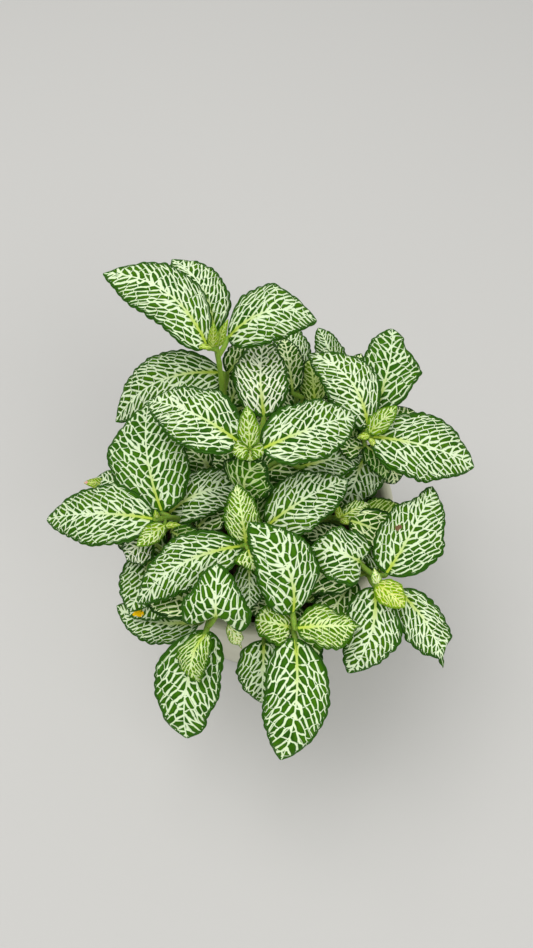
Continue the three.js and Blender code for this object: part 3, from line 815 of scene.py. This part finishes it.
def net_gap(nodes, net, across, edge, width, stretch):
    """The gap for the whole net, and the row that a point is in."""
    side = nodes.times(nodes.math("GREATER_THAN", across, 0.0), SIDE_SHIFT)
    shifted = nodes.vector("ADD", net, nodes.join(side))
    x, y, _ = nodes.split(nodes.warp(nodes.warp(shifted, *BROAD_WARP), *FINE_WARP))
    from_rib = nodes.math("ABSOLUTE", across)
    half = nodes.ramp(from_rib, 0.0, 1.0, WIDTH_AT_RIB * width, WIDTH_AT_EDGE * width)
    gap, steep = cell_gap(nodes, x, y, stretch)
    gap = nodes.minus(gap, nodes.times(half, nodes.ramp(steep, 0.3, 0.9, LINK_WIDTH, ROW_VEIN_WIDTH)))
    gap = nodes.plus(gap, nodes.ramp(edge, *FRINGE, LINK_FADE, 0.0))
    long_veins = line_gap(nodes, x, LONG_VEIN_EVERY, nodes.times(half, LONG_VEIN_WIDTH))
    gap = nodes.math("SMOOTH_MIN", gap, long_veins, MERGE)
    fine = line_gap(nodes, x, FINE_LINE_EVERY, nodes.times(half, FINE_LINE_WIDTH))
    fine = nodes.plus(fine, nodes.ramp(edge, *FINE_LINES, 0.0, FINE_LINE_FADE))
    return nodes.math("SMOOTH_MIN", gap, fine, MERGE), x


def vein_mask(nodes, along, across, edge, out, width, stretch):
    """1 on the midrib and the veins and 0 between them, and the gap to the nearest vein."""
    gap, x = net_gap(nodes, nodes.attribute("net"), across, edge, width, stretch)
    mesh = nodes.ramp(gap, -0.06, 0.04, 1.0, 0.0)
    tooth = nodes.chance(nodes.math("FLOOR", nodes.math("MULTIPLY_ADD", x, TEETH_PER_ROW, 0.5)), TOOTH_SEED)
    depth = nodes.minus(edge, nodes.math("MULTIPLY_ADD", tooth, MARGIN_SPREAD, LEAST_MARGIN))
    mesh = nodes.times(mesh, nodes.ramp(depth, -0.1, 0.3))
    rib_half = nodes.ramp(along, 0.0, 0.95, RIB_AT_FOOT, RIB_AT_TIP)
    middle = nodes.ramp(out, nodes.times(rib_half, 0.5), rib_half, 1.0, 0.0)
    middle = nodes.times(middle, nodes.ramp(edge, 0.1, 0.5))
    return nodes.math("MAXIMUM", mesh, middle), gap


def spot_mask(nodes, along, across, at_along, at_across, size):
    """1 in a small uneven patch at a place along and across the blade."""
    length = nodes.minus(along, at_along)
    width = nodes.times(nodes.minus(across, at_across), 0.28)
    ragged, _ = nodes.noise(nodes.object_place(), 1100, detail=3)
    far = nodes.math("MULTIPLY_ADD", ragged, 2 * size, nodes.length(length, width))
    return nodes.ramp(far, 1.9 * size, 2.1 * size, 1.0, 0.0)


def leaf_material(name, cell, deep, vein, margin, rib, width, stretch=PLAIN_STRETCH, spot=None, glow=0.1):
    """A leaf's material. width is the veins' half-width, in shares of a row, and glow lets light through."""
    nodes = Nodes(name)
    along, across, edge = nodes.split(nodes.attribute("place"))
    out, tone, upper = nodes.split(nodes.attribute("trait"))
    place = nodes.object_place()
    veins, gap = vein_mask(nodes, along, across, edge, out, width, stretch)
    blotch, _ = nodes.noise(place, 160)
    green = nodes.mix(nodes.ramp(blotch, 0.35, 0.7), cell, deep)
    # Painted shade: the green turns towards the deep green next to the veins, in the dips where the cells
    # meet them.
    green = nodes.mix(nodes.ramp(gap, 0.0, 0.2, 0.4, 0.0), green, deep)
    green = nodes.mix(nodes.ramp(edge, 0.7, 1.4, 1.0, 0.0), green, margin)
    near_foot = nodes.ramp(along, 0.0, 0.6, 1.0, 0.0)
    near_rib = nodes.times(nodes.ramp(out, 0.2, 1.5, 1.0, 0.0), near_foot)
    top = nodes.mix(veins, green, nodes.mix(near_rib, vein, rib))
    if spot:
        *patch, colour = spot
        top = nodes.mix(spot_mask(nodes, along, across, *patch), top, colour)
    top = nodes.mix(nodes.ramp(tone, 0.0, 1.0, 0.0, 0.1), top, deep)
    lower = nodes.mix(nodes.times(veins, 0.55), rgb(96, 136, 66), rgb(160, 188, 126))
    grain, _ = nodes.noise(place, 5200, detail=1)
    puffed = nodes.times(nodes.ramp(gap, -0.15, 0.3), nodes.ramp(out, 0.2, 1.2))
    nodes.bump(nodes.math("MULTIPLY_ADD", grain, 0.1, puffed), 0.00045, 0.8)
    nodes.surface({
        "Base Color": nodes.mix(upper, lower, top),
        "Roughness": nodes.ramp(veins, 0, 1, 0.52, 0.62),
        "Specular IOR Level": 0.07,
        "Subsurface Weight": glow,
        "Subsurface Radius": (0.7, 1.0, 0.25),
        "Subsurface Scale": 0.0012,
    })
    return nodes.material


# %% [markdown]
# ## Looks of leaf
#
# A look is a set of colours and a width for the veins. Grown leaves are dense or open, by the size
# of their cells, or white where the net is at its brightest; white's veins are also painted
# brighter, as painted light on leaves that lie in the shade of others. Leaves that have just opened
# are fresh, young, buds, lime or pale. Those deep in the plant are olive, dim or in the shade. Dim
# and shade carry painted shade: dim has a darker margin, and veins painted brighter as painted
# light, and shade has darker, duller veins. Spotted and marked leaves carry a small patch of
# another colour, and a blush is a bud with a pink tip.

# %% Leaf looks
VEIN = (218, 236, 200)
MARGIN = (46, 92, 16)
RIB = (176, 200, 60)
WIDE_STRETCH = 2.1


def leaf_look(cell, deep, vein, margin, rib, width, **special):
    """A look: its colours, given as screen values, the veins' half-width and what is special to it."""
    colours = dict(cell=cell, deep=deep, vein=vein, margin=margin, rib=rib)
    return dict(width=width, **special, **{part: rgb(*colour) for part, colour in colours.items()})


LEAF_LOOKS = {
    "dense": leaf_look((64, 110, 0), (36, 84, 0), VEIN, MARGIN, RIB, 0.15),
    "open": leaf_look((58, 108, 0), (36, 84, 0), VEIN, MARGIN, RIB, 0.122, stretch=WIDE_STRETCH),
    "fresh": leaf_look(
        (98, 142, 0), (66, 114, 0), (212, 232, 168), (60, 108, 12), (184, 208, 74), 0.15, glow=0.3
    ),
    "olive": leaf_look((92, 134, 4), (60, 104, 0), (198, 220, 136), (42, 86, 8), (180, 204, 84), 0.14),
    "lime": leaf_look(
        (152, 186, 14), (130, 172, 4), (222, 236, 148), (126, 168, 26), (206, 224, 96), 0.14, glow=0.6
    ),
    "young": leaf_look(
        (122, 160, 14), (94, 138, 2), (210, 228, 166), (98, 144, 24), (182, 206, 96), 0.14, glow=0.4
    ),
    "bud": leaf_look(
        (148, 180, 30), (126, 164, 14), (204, 222, 132), (146, 180, 54), (196, 216, 118), 0.12, glow=0.6
    ),
    "pale": leaf_look(
        (160, 192, 84), (136, 174, 56), (228, 240, 190), (140, 176, 84), (214, 230, 156), 0.24, glow=0.6
    ),
    # dim is the open look for leaves deep in the plant: its darker margin and deep green are painted shade,
    # and its brighter veins are painted light.
    "dim": leaf_look(
        (58, 108, 0), (34, 84, 0), (236, 252, 198), (30, 68, 12), (186, 212, 104), 0.122,
        stretch=WIDE_STRETCH,
    ),
}
# white's brighter veins are painted light for leaves that lie in the shade of others; its broader veins are
# its own.
LEAF_LOOKS["white"] = dict(LEAF_LOOKS["dense"], width=0.16, vein=rgb(242, 253, 224))
# shade is a darker copy of dim for leaves in deep shade: its darker, duller and thinner veins are painted
# shade.
LEAF_LOOKS["shade"] = dict(LEAF_LOOKS["dim"], width=0.1, vein=rgb(190, 212, 150))
LEAF_LOOKS["spotted"] = dict(LEAF_LOOKS["dense"], width=0.16, spot=(0.86, -0.35, 0.075, rgb(255, 204, 0)))
LEAF_LOOKS["marked"] = dict(LEAF_LOOKS["dense"], spot=(0.42, -0.45, 0.03, rgb(120, 92, 66)))
LEAF_LOOKS["blush"] = dict(LEAF_LOOKS["bud"], spot=(0.95, 0.0, 0.2, rgb(226, 172, 164)))
PLAIN_ROW_WIDTH = 1.25
ROW_WIDTH = {
    "open": 1.6, "fresh": 1.1, "olive": 1.3, "lime": 1.1, "young": 1.25, "bud": 1.0, "blush": 1.0,
    "pale": 1.0, "dim": 1.7, "shade": 1.7,
}
leaf_materials = {look: leaf_material(f"leaf_{look}", **values) for look, values in LEAF_LOOKS.items()}
print("leaf materials", len(leaf_materials))

# %% [markdown]
# ## Leaves
#
# A finished blade is the layout's surface with what a closer look adds: rounded teeth along the
# edge, fine waves, and a quilted face whose folds follow the rows of the net. Both faces are one
# grid each, a thin plate apart, joined along the edge.

# %% Leaves
BLADE_THICKNESS = 0.5
TOOTH_LENGTH = 3.1
TOOTH_DEPTH = {"fresh": 0.95, "lime": 0.5, "young": 0.5, "bud": 0.15, "open": 0.6}
PLAIN_TOOTH_DEPTH = 0.8
FRILL = 0.4
FRESH_FRILL = 0.8
QUILT = 0.2
BUD_NARROWING = 0.4
TAIL_NARROWING = 0.7
TAIL_STEP = 0.14
LOBE_LENGTH = 0.09
LOBE_OUT = 0.015
LOBE_DROP = 0.4
FOOT_IN = 0.9
FULL_WIDTH = 14
ROW_FULL_WIDTH = 18
RIB_FULL_WIDTH = 12
STEEP = 1.2
STEEPEST = 1.9
LEAF_GRIDS = [(12, (96, 20)), (9, (72, 16)), (0, (40, 10))]
LOW_GRID = (48, 12)
END_LEFT_OUT = 0.003
NET_START = 100
NET_STEP = 80
NETS = 50
UV_STARTS = (0.01, 0.51)
UV_WIDTH = 0.48
rng = np.random.default_rng(7)


def row_width(blade):
    """The width of a row of cells, in millimetres: a little less on a small leaf."""
    plain = ROW_WIDTH.get(blade["look"], PLAIN_ROW_WIDTH)
    return plain * np.clip(blade["width"] / ROW_FULL_WIDTH, 0.55, 1.1) ** 0.5


def vein_place(blade, along, across):
    """Rows (a L - slope out - curve out^2) and, square to them, steps (slope a L + out), in widths."""
    run = along * blade["length"]
    out = np.abs(across) * blade["width"] / 2 * reach(along)
    row = row_width(blade)
    turned_by = np.hypot(1, STEEPEST)
    x = (run - STEEP * out - (STEEPEST - STEEP) * 2 / blade["width"] * out**2) / (turned_by * row)
    stretch = LEAF_LOOKS[blade["look"]].get("stretch", PLAIN_STRETCH)
    y = (STEEPEST * run + out) / (turned_by * row * stretch)
    return x, y, out


def outline_shift(blade, along, across, half):
    """How far the outline moves out, from a tail, lumps and the slow unevenness of each edge."""
    phase = blade["phase"] + 2.3 * np.sign(across)
    uneven = 0.045 * np.sin(7.5 * along + 3 * phase) + 0.035 * np.sin(17 * along + 5 * phase)
    shift = half * uneven * np.sin(np.pi * along)
    if blade["width"] < BUD_WIDTH:
        shift = shift - BUD_NARROWING * half * along
    if "tail" in blade:
        reached = np.clip((along - 1 + blade["tail"]) / TAIL_STEP + 0.5, 0, 1)
        shift = shift - TAIL_NARROWING * half * reached
    for side, place, spread, amount in blade.get("lumps", ()):
        lump = amount * np.exp(-(((along - place) / spread) ** 2))
        shift = shift + np.where(across * side > 0, lump, 0)
    return shift * across


def foot_shift(blade, along):
    """How far a heart-shaped blade's foot lies in from its lobes."""
    return (FOOT_IN * blade["heart"] * (1 - along) ** 8)[..., None] * blade["axis"]


def heart_shift(blade, along, across):
    """Out, back and down for the lobes beside the foot of a heart-shaped blade: s e^(1 - s)."""
    share = along / LOBE_LENGTH
    bell = share * np.exp(1 - share)
    lobe = blade["heart"] * np.abs(across) ** 1.5 * bell * (1 + 0.3 * across)
    out = LOBE_OUT * blade["heart"] * blade["width"] * across * bell
    moved = -lobe[..., None] * blade["axis"] + out[..., None] * blade["side"]
    return moved - LOBE_DROP * lobe[..., None] * blade["normal"] + foot_shift(blade, along)


def edge_distance(points):
    """The distance from each point to the nearest point of the grid's rim."""
    rim = np.concatenate([points[:, 0], points[-1], points[::-1, -1], points[0, ::-1]])
    rim = np.concatenate([rim, (rim + np.roll(rim, -1, axis=0)) / 2])
    flat = points.reshape(-1, 3)
    square = (flat**2).sum(axis=1)[:, None] + (rim**2).sum(axis=1) - 2 * flat @ rim.T
    return np.sqrt(np.maximum(square.min(axis=1), 0)).reshape(points.shape[:2])


def fine_blade(blade, along, across):
    """The blade's finished middle surface and the distance from each point to its edge."""
    half = blade["width"] / 2 * reach(along)
    size = np.minimum(1, blade["width"] / FULL_WIDTH)
    phase = blade["phase"] + 1.7 * np.sign(across)
    count = blade["length"] / (TOOTH_LENGTH * size)
    turn = np.pi * count * along + phase + 0.5 * np.sin(7 * along + 2 * phase)
    uneven = 0.75 + 0.25 * np.sin(11 * along + 3 * phase)
    tooth = (np.abs(np.sin(turn)) ** 0.8 - 0.6) * uneven
    depth = TOOTH_DEPTH.get(blade["look"], PLAIN_TOOTH_DEPTH) * size
    ends = np.sin(np.pi * np.clip(along, 0, 1)) ** 0.4
    sideways = depth * tooth * np.abs(across) ** 4 * ends * np.sign(across)
    strength = FRESH_FRILL if blade["look"] == "fresh" else FRILL * size
    frill = strength * np.sin(turn + 0.8) * across**4 * ends
    x, _, _ = vein_place(blade, along, across)
    quilt = -QUILT * size * np.cos(np.pi * x) * np.sin(np.pi * np.abs(across)) ** 0.7
    points = placed_surface(blade, along, across)
    sideways = sideways + outline_shift(blade, along, across, half)
    points = points + sideways[..., None] * blade["side"] + (frill + quilt)[..., None] * blade["normal"]
    if "heart" in blade:
        points = points + heart_shift(blade, along, across)
    return points, edge_distance(points) / np.minimum(1, 0.1 + blade["width"] / 16)


def listed(*grids):
    """Grids of numbers, or single numbers, as one list of vectors."""
    return np.stack(np.broadcast_arrays(*grids), axis=-1).reshape(-1, len(grids))


def leaf_grid(blade):
    """Rows and columns of faces for a leaf: fewer on a small leaf or one low in the plant."""
    if "low" in blade:
        return LOW_GRID
    return next(size for least, size in LEAF_GRIDS if blade["width"] > least)


def leaf_faces(rows, columns):
    """Faces of a leaf: its upper face, its lower face and the narrow wall along its edge."""
    count = (rows + 1) * (columns + 1)
    top = grid_faces(rows + 1, columns + 1)[:, ::-1]
    bottom = grid_faces(rows + 1, columns + 1, start=count)
    index = np.arange(count).reshape(rows + 1, columns + 1)
    rim = np.concatenate([index[:, 0], index[-1, 1:], index[-2::-1, -1], index[0, -2:0:-1]])
    following = np.roll(rim, -1)
    return [top, bottom, np.stack([rim, following, following + count, rim + count], axis=-1)]


def leaf_numbers(blade, along, across, edge):
    """The numbers that a leaf's material reads at each point of both faces."""
    x, y, out = vein_place(blade, along, across)
    own_net = NET_START + NET_STEP * rng.integers(0, NETS)
    tone = rng.uniform()
    out = out / np.clip(blade["width"] / RIB_FULL_WIDTH, 0.5, 1)
    net = listed(x + own_net, y, row_width(blade))
    place = listed(along, across, edge)
    trait = [listed(out, tone, upper) for upper in (1.0, 0.0)]
    return dict(net=np.tile(net, (2, 1)), place=np.tile(place, (2, 1)), trait=np.concatenate(trait))


def make_leaf(name, blade):
    """A leaf's two faces as one closed mesh, with the numbers that its material reads."""
    rows, columns = leaf_grid(blade)
    blade["phase"] = rng.uniform(0, 2 * np.pi)
    even, across = samples(rows, columns)
    along = 0.5 - (0.5 - END_LEFT_OUT) * np.cos(np.pi * even)
    points, edge = fine_blade(blade, along, across)
    lift = blade["normal"] * BLADE_THICKNESS / 2
    both_faces = np.concatenate([(points + lift).reshape(-1, 3), (points - lift).reshape(-1, 3)])
    numbers = leaf_numbers(blade, along, across, edge)
    sideways = UV_WIDTH * (across + 1) / 2
    uv = np.concatenate([listed(start + sideways, 0.01 + 0.98 * along) for start in UV_STARTS])
    material = leaf_materials[blade["look"]]
    return make_piece(name, both_faces, leaf_faces(rows, columns), material, uv, numbers)


leaf_count = 0
for name, shoot in shoots.items():
    for number, blade in enumerate(shoot["blades"]):
        piece = make_leaf(f"leaf_{name}_{number + 1:02d}", blade)
        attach(piece, "root")
        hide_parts(f"shoot_{name}")
        leaf_count += 1
print("leaves", leaf_count)

# %% [markdown]
# ## Stems and petioles
#
# A stem is a tube that swells at its joints. A petiole is a thinner tube that leaves the stem below
# a blade, meets the foot of the blade, and runs on under it as the raised back of the midrib.

# %% Stems
STEM_STEPS = 44
STEM_SIDES = 12
STEM_TAPER = 0.64
JOINT_LENGTH = 1.6
JOINT_SWELLING = 0.2
THICKEST = 1.9
NODE_BELOW = 0.6
NODE_SLOPE = 0.3
PETIOLE_SAG = 0.12
PETIOLE_STEPS = 26
PETIOLE_SIDES = 8
PETIOLE_SHARES = np.array([1, 1, 1, 0.8, 0.55, 0.4, 0.25])
MIDRIB_PLACES = np.array([0, 0.12, 0.3, 0.55, 0.8])


def smooth_path(points, steps):
    """Catmull-Rom points through a list of points."""
    points = np.asarray(points, float)
    padded = np.concatenate([[2 * points[0] - points[1]], points, [2 * points[-1] - points[-2]]])
    at = np.linspace(0, len(points) - 1, steps)
    base = np.minimum(at.astype(int), len(points) - 2)
    t = (at - base)[:, None]
    a, b, c, d = (padded[base + step] for step in range(4))
    return 0.5 * (2 * b + (c - a) * t + (2 * a - 5 * b + 4 * c - d) * t**2 + (3 * b - a - 3 * c + d) * t**3)


def tube(path, radius, sides):
    """A closed tube: at each path point a ring of the given radius, square to the path."""
    tangent = np.gradient(path, axis=0)
    tangent /= np.linalg.norm(tangent, axis=1)[:, None]
    helper = np.where(np.abs(tangent[:, [2]]) > 0.9, RIGHT, SKY)
    first = np.cross(tangent, helper)
    first /= np.linalg.norm(first, axis=1)[:, None]
    for step in range(1, len(path)):
        carried = first[step - 1] - tangent[step] * (first[step - 1] @ tangent[step])
        first[step] = unit(carried)
    second = np.cross(tangent, first)
    turn = 2 * np.pi * np.arange(sides) / sides
    ring = first[:, None] * np.cos(turn)[:, None] + second[:, None] * np.sin(turn)[:, None]
    return capped(path[:, None] + ring * radius[:, None, None], path[0], path[-1])


def petiole_tube(curve, blade):
    """The petiole and the raised back of the midrib under the blade."""
    under = placed_surface(blade, MIDRIB_PLACES, 0 * MIDRIB_PLACES)
    if "heart" in blade:
        under = under + foot_shift(blade, MIDRIB_PLACES)
    foot = under[0]
    apart = np.hypot(*(foot - stem_at(curve, foot[2]))[:2])
    node = stem_at(curve, foot[2] - NODE_BELOW - NODE_SLOPE * apart)
    radius = PETIOLE_SHARES * min(PETIOLE_DIAMETER, 0.4 + blade["width"] / 8) / 2
    under = under - blade["normal"] * radius[2:, None] * 0.75
    middle = node + 0.6 * (foot - node)
    middle += np.array([0, blade.get("bow", 0), -PETIOLE_SAG * apart])
    path = smooth_path([node, middle, *under], PETIOLE_STEPS)
    at = np.linspace(0, len(radius) - 1, PETIOLE_STEPS)
    return tube(path, np.interp(at, np.arange(len(radius)), radius), PETIOLE_SIDES)


def stem_tube(curve, blades):
    """The stem, thinner towards its head, with a swelling where each petiole leaves it."""
    share = np.linspace(0, 1, STEM_STEPS)
    path = curve_point(curve, share)
    end = np.clip((1.02 - share) / 0.07, 0, 1) ** 0.5
    radius = STEM_DIAMETER / 2 * (1 - STEM_TAPER * share) * end
    for blade in blades:
        joint = blade["foot"][2] - 0.4 * np.hypot(*(blade["foot"] - curve[2])[:2])
        swelling = np.exp(-(((path[:, 2] - joint) / JOINT_LENGTH) ** 2))
        radius = radius + JOINT_SWELLING * swelling * (radius < THICKEST) * (share < 0.9)
    return tube(path, radius, STEM_SIDES)


def stem_material():
    """Juicy green stem, darker low down as painted shade under the leaves and lighter and yellower towards
    its head, with a fine pale mottle.
    """
    nodes = Nodes("stem")
    place = nodes.object_place()
    _, _, height = nodes.split(place)
    broad, _ = nodes.noise(place, 120, detail=3)
    fine, _ = nodes.noise(place, 2600)
    # Painted shade: the stem is darker low down, under the leaves, and lighter towards its head.
    green = nodes.mix(nodes.ramp(height, 0.085, 0.125), rgb(54, 84, 16), rgb(122, 158, 48))
    green = nodes.mix(nodes.ramp(broad, 0.35, 0.7, 0.0, 0.6), green, rgb(130, 166, 58))
    green = nodes.mix(nodes.ramp(fine, 0.55, 0.75, 0.0, 0.2), green, rgb(200, 216, 140))
    nodes.bump(fine, 0.0002, 0.5)
    nodes.surface({
        "Base Color": green,
        "Roughness": 0.55,
        "Specular IOR Level": 0.2,
        "Subsurface Weight": 0.3,
        "Subsurface Scale": 0.001,
    })
    return nodes.material


stem_look = stem_material()
for name, shoot in shoots.items():
    tubes = [stem_tube(shoot["curve"], shoot["blades"])]
    tubes += [petiole_tube(shoot["curve"], blade) for blade in shoot["blades"]]
    points, faces = joined(tubes)
    piece = make_piece(f"stem_{name}", points, faces, stem_look)
    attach(piece, "root")
    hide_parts(f"shoot_{name}")
print("stems", len(shoots))

# %% [markdown]
# ## Pot
#
# The pot is turned: one outline goes once around the axis. It has nearly straight walls, a rolled
# rim and a small rounded foot, under an off-white satin glaze with faint specks.

# %% Pot
POT_TURNS = 128
FOOT_ROUND = 3
BASE_HOLLOW = 0.6


def arc(centre_x, centre_z, radius, start, end, steps):
    """Points on an arc, from start to end degrees."""
    turn = np.radians(np.linspace(start, end, steps))
    return np.stack([centre_x + radius * np.cos(turn), centre_z + radius * np.sin(turn)], axis=1)


def pot_outline():
    """Radius and height from the middle of the base, up the outside, over the rim and down inside."""
    base, top, rim = BASE_DIAMETER / 2, POT_DIAMETER / 2, WALL / 2
    wall_top = POT_HEIGHT - rim
    corner = base - WALL - INNER_CORNER
    outside = np.linspace([base + 0.2, FOOT_ROUND + 0.2], [top, wall_top], 24)[1:]
    inside = np.linspace([top - WALL, wall_top], [base - WALL, FLOOR + INNER_CORNER], 20)[1:]
    return np.concatenate([
        [[base / 2, BASE_HOLLOW], [base - 7, BASE_HOLLOW], [base - 6.2, 0.35], [base - 5.6, 0]],
        arc(base - FOOT_ROUND, FOOT_ROUND, FOOT_ROUND, -90, 0, 9) + [[0.1, 0]],
        outside,
        arc(top - rim, wall_top, rim, 0, 180, 17)[1:],
        inside,
        arc(corner, FLOOR + INNER_CORNER, INNER_CORNER, 0, -90, 7)[1:],
        [[base / 2, FLOOR]],
    ])


def turned(outline, turns):
    """The outline carried around the axis: (r cos a, r sin a, z)."""
    turn = 2 * np.pi * np.arange(turns) / turns
    radius, height = outline[:, [0]], outline[:, [1]]
    return np.stack([radius * np.cos(turn), radius * np.sin(turn), height + 0 * turn], axis=-1)


def pot_material():
    """Off-white glaze with soft pooling and faint specks."""
    nodes = Nodes("pot_glaze")
    place = nodes.object_place()
    pool, _ = nodes.noise(place, 28, detail=3)
    grain, _ = nodes.noise(place, 900)
    speck = nodes.ramp(nodes.voronoi(place, 420, "F1", 1.0, "3D")["Distance"], 0.1, 0.17, 1.0, 0.0)
    dots = nodes.times(speck, nodes.ramp(grain, 0.5, 0.62, 0.0, 0.55))
    glaze = nodes.mix(nodes.ramp(pool, 0.35, 0.7), rgb(196, 196, 176), rgb(184, 184, 162))
    nodes.bump(nodes.plus(pool, nodes.times(grain, 0.06)), 0.0006, 0.3)
    nodes.surface({
        "Base Color": nodes.mix(dots, glaze, rgb(168, 160, 134)),
        "Roughness": nodes.ramp(pool, 0.3, 0.7, 0.34, 0.46),
        "Coat Weight": 0.15,
        "Coat Roughness": 0.3,
    })
    return nodes.material


pot_rings = turned(pot_outline(), POT_TURNS)
pot_points, pot_faces = capped(pot_rings, np.array([0, 0, BASE_HOLLOW]), np.array([0, 0, FLOOR]))
pot = make_piece("pot_turned", pot_points, pot_faces, pot_material())
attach(pot, "root")
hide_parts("pot")
print("pot", [round(side, 4) for side in pot.dimensions])

# %% [markdown]
# ## Soil
#
# Potting soil is a dark packed bed with loose crumbs on it. The bed is a polar grid whose height is
# a sum of sines, and the crumbs are small lumps strewn by a seeded draw.

# %% Soil
SOIL_TURNS = 96
SOIL_RINGS = 40
SOIL_RADIUS = 44
SOIL_HEART = 20
DOME_RISE = 1.2
DOME_FALL = 2.6
SOIL_GAP = 0.3
EDGE_GAP = 0.5
CRUMBS = 900
CRUMB_SIZE = (0.4, 1.3)
CRUMBS_TO_EDGE = 1.5


def soil_height(x, y):
    """The bed's height: a slight dome with three scales of lumps."""
    radius = np.hypot(x, y)
    dome = DOME_RISE - DOME_FALL * (radius / SOIL_RADIUS) ** 4
    lumps = 0.6 * np.sin(0.33 * x + 1) * np.sin(0.29 * y) + 0.35 * np.sin(0.9 * x + 0.7 * y)
    return SOIL_HEIGHT + dome + lumps + 0.25 * np.sin(2.1 * x - 1.7 * y) * np.sin(1.9 * y)


def soil_material():
    """Nearly black moist crumbs with brown fibres."""
    nodes = Nodes("soil")
    place = nodes.object_place()
    clump, _ = nodes.noise(place, 380, detail=4, roughness=0.7)
    strewn = nodes.warp(place, 300, 0.004)
    fibre = nodes.voronoi(strewn, 900, "DISTANCE_TO_EDGE", 1.0, "3D")["Distance"]
    brown = nodes.mix(nodes.ramp(clump, 0.4, 0.7), rgb(24, 18, 14), rgb(62, 46, 34))
    nodes.bump(clump, 0.001, 0.9)
    nodes.surface({
        "Base Color": nodes.mix(nodes.ramp(fibre, 0.0, 0.12, 0.35, 0.0), brown, rgb(96, 76, 54)),
        "Roughness": 0.92,
        "Specular IOR Level": 0.2,
    })
    return nodes.material


soil_look = soil_material()
edge_radius = wall_at(SOIL_HEIGHT) - EDGE_GAP
corner_height = FLOOR + INNER_CORNER
corner_radius = wall_at(corner_height)
skirt_radius = np.array([SOIL_HEART, corner_radius - INNER_CORNER, corner_radius - SOIL_GAP])
skirt_height = np.array([FLOOR + SOIL_GAP, FLOOR + SOIL_GAP, corner_height])
skirt = turned(np.stack([skirt_radius, skirt_height], axis=1), SOIL_TURNS)
bed_radius = np.linspace(edge_radius, edge_radius / SOIL_RINGS, SOIL_RINGS)
bed = turned(np.stack([bed_radius, 0 * bed_radius], axis=1), SOIL_TURNS)
bed[..., 2] = soil_height(bed[..., 0], bed[..., 1])
bed_points, bed_faces = capped(
    np.concatenate([skirt, bed]), np.array([0, 0, FLOOR + SOIL_GAP]), np.array([0, 0, soil_height(0, 0)])
)
soil = make_piece("soil_bed", bed_points, bed_faces, soil_look)


def crumb_points(count):
    """Uneven octahedra on the bed: each a centre plus six drawn reaches."""
    radius = (edge_radius - CRUMBS_TO_EDGE) * np.sqrt(rng.uniform(size=count))
    turn = rng.uniform(0, 2 * np.pi, count)
    x, y = radius * np.cos(turn), radius * np.sin(turn)
    size = rng.uniform(*CRUMB_SIZE, count)
    centre = np.stack([x, y, soil_height(x, y) + 0.3 * size], axis=1)
    arms = np.array([[1, 0, 0], [0, 1, 0], [-1, 0, 0], [0, -1, 0], [0, 0, 1], [0, 0, -1]], float)
    reach_out = size[:, None, None] * rng.uniform(0.6, 1.1, (count, 6, 1))
    jitter = rng.normal(0, 0.25, (count, 6, 3)) * size[:, None, None]
    return centre[:, None] + arms * reach_out + jitter


crumb_faces = np.array(
    [[0, 1, 4], [1, 2, 4], [2, 3, 4], [3, 0, 4], [1, 0, 5], [2, 1, 5], [3, 2, 5], [0, 3, 5]]
)
all_faces = (crumb_faces + 6 * np.arange(CRUMBS)[:, None, None]).reshape(-1, 3)
crumbs = make_piece("soil_crumbs", crumb_points(CRUMBS).reshape(-1, 3), [all_faces], soil_look)
for piece in (soil, crumbs):
    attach(piece, "root")
    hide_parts("soil")
print("soil", [round(side, 4) for side in soil.dimensions])

# %% [markdown]
# ## Studio
#
# A plain pale floor and soft light from above, a little from behind and from the left, as in a
# bright room. Weak fill from the front keeps the shaded side of the pot readable.

# %% Studio
FLOOR_HALF = 3000
KEY_POWER = 8
FILL_POWER = 7.2
SKY_STRENGTH = 0.61


def floor_material():
    """A plain pale surface."""
    nodes = Nodes("floor")
    nodes.surface({"Base Color": rgb(190, 190, 192), "Roughness": 0.8})
    return nodes.material


floor_points = FLOOR_HALF * np.array([[-1, -1, 0], [1, -1, 0], [1, 1, 0], [-1, 1, 0]], float)
floor = make_piece("floor", floor_points, [np.array([[0, 1, 2, 3]])], floor_material())


def soft_light(name, place, aim, size, power):
    """A square area light in metres that faces a point."""
    data = bpy.data.lights.new(name, "AREA")
    data.size = size
    data.energy = power
    data.color = (1.0, 0.98, 0.92)
    light = bpy.data.objects.new(name, data)
    light.location = place
    direction = np.array(aim, float) - np.array(place, float)
    yaw = np.arctan2(direction[1], direction[0]) - np.pi / 2
    pitch = np.arctan2(direction[2], np.hypot(direction[0], direction[1])) + np.pi / 2
    light.rotation_euler = (pitch, 0, yaw)
    bpy.context.collection.objects.link(light)


soft_light("key", (-0.3, 0.12, 1.15), (0, 0, 0.1), 0.8, KEY_POWER)
soft_light("fill", (0.7, -0.9, 0.9), (0, 0, 0.08), 1.0, FILL_POWER)
world = bpy.data.worlds.new("studio")
world.use_nodes = True
background = world.node_tree.nodes["Background"]
background.inputs["Color"].default_value = (1.0, 1.0, 0.94, 1.0)
background.inputs["Strength"].default_value = SKY_STRENGTH
bpy.context.scene.world = world
bpy.context.scene.view_settings.view_transform = "Standard"
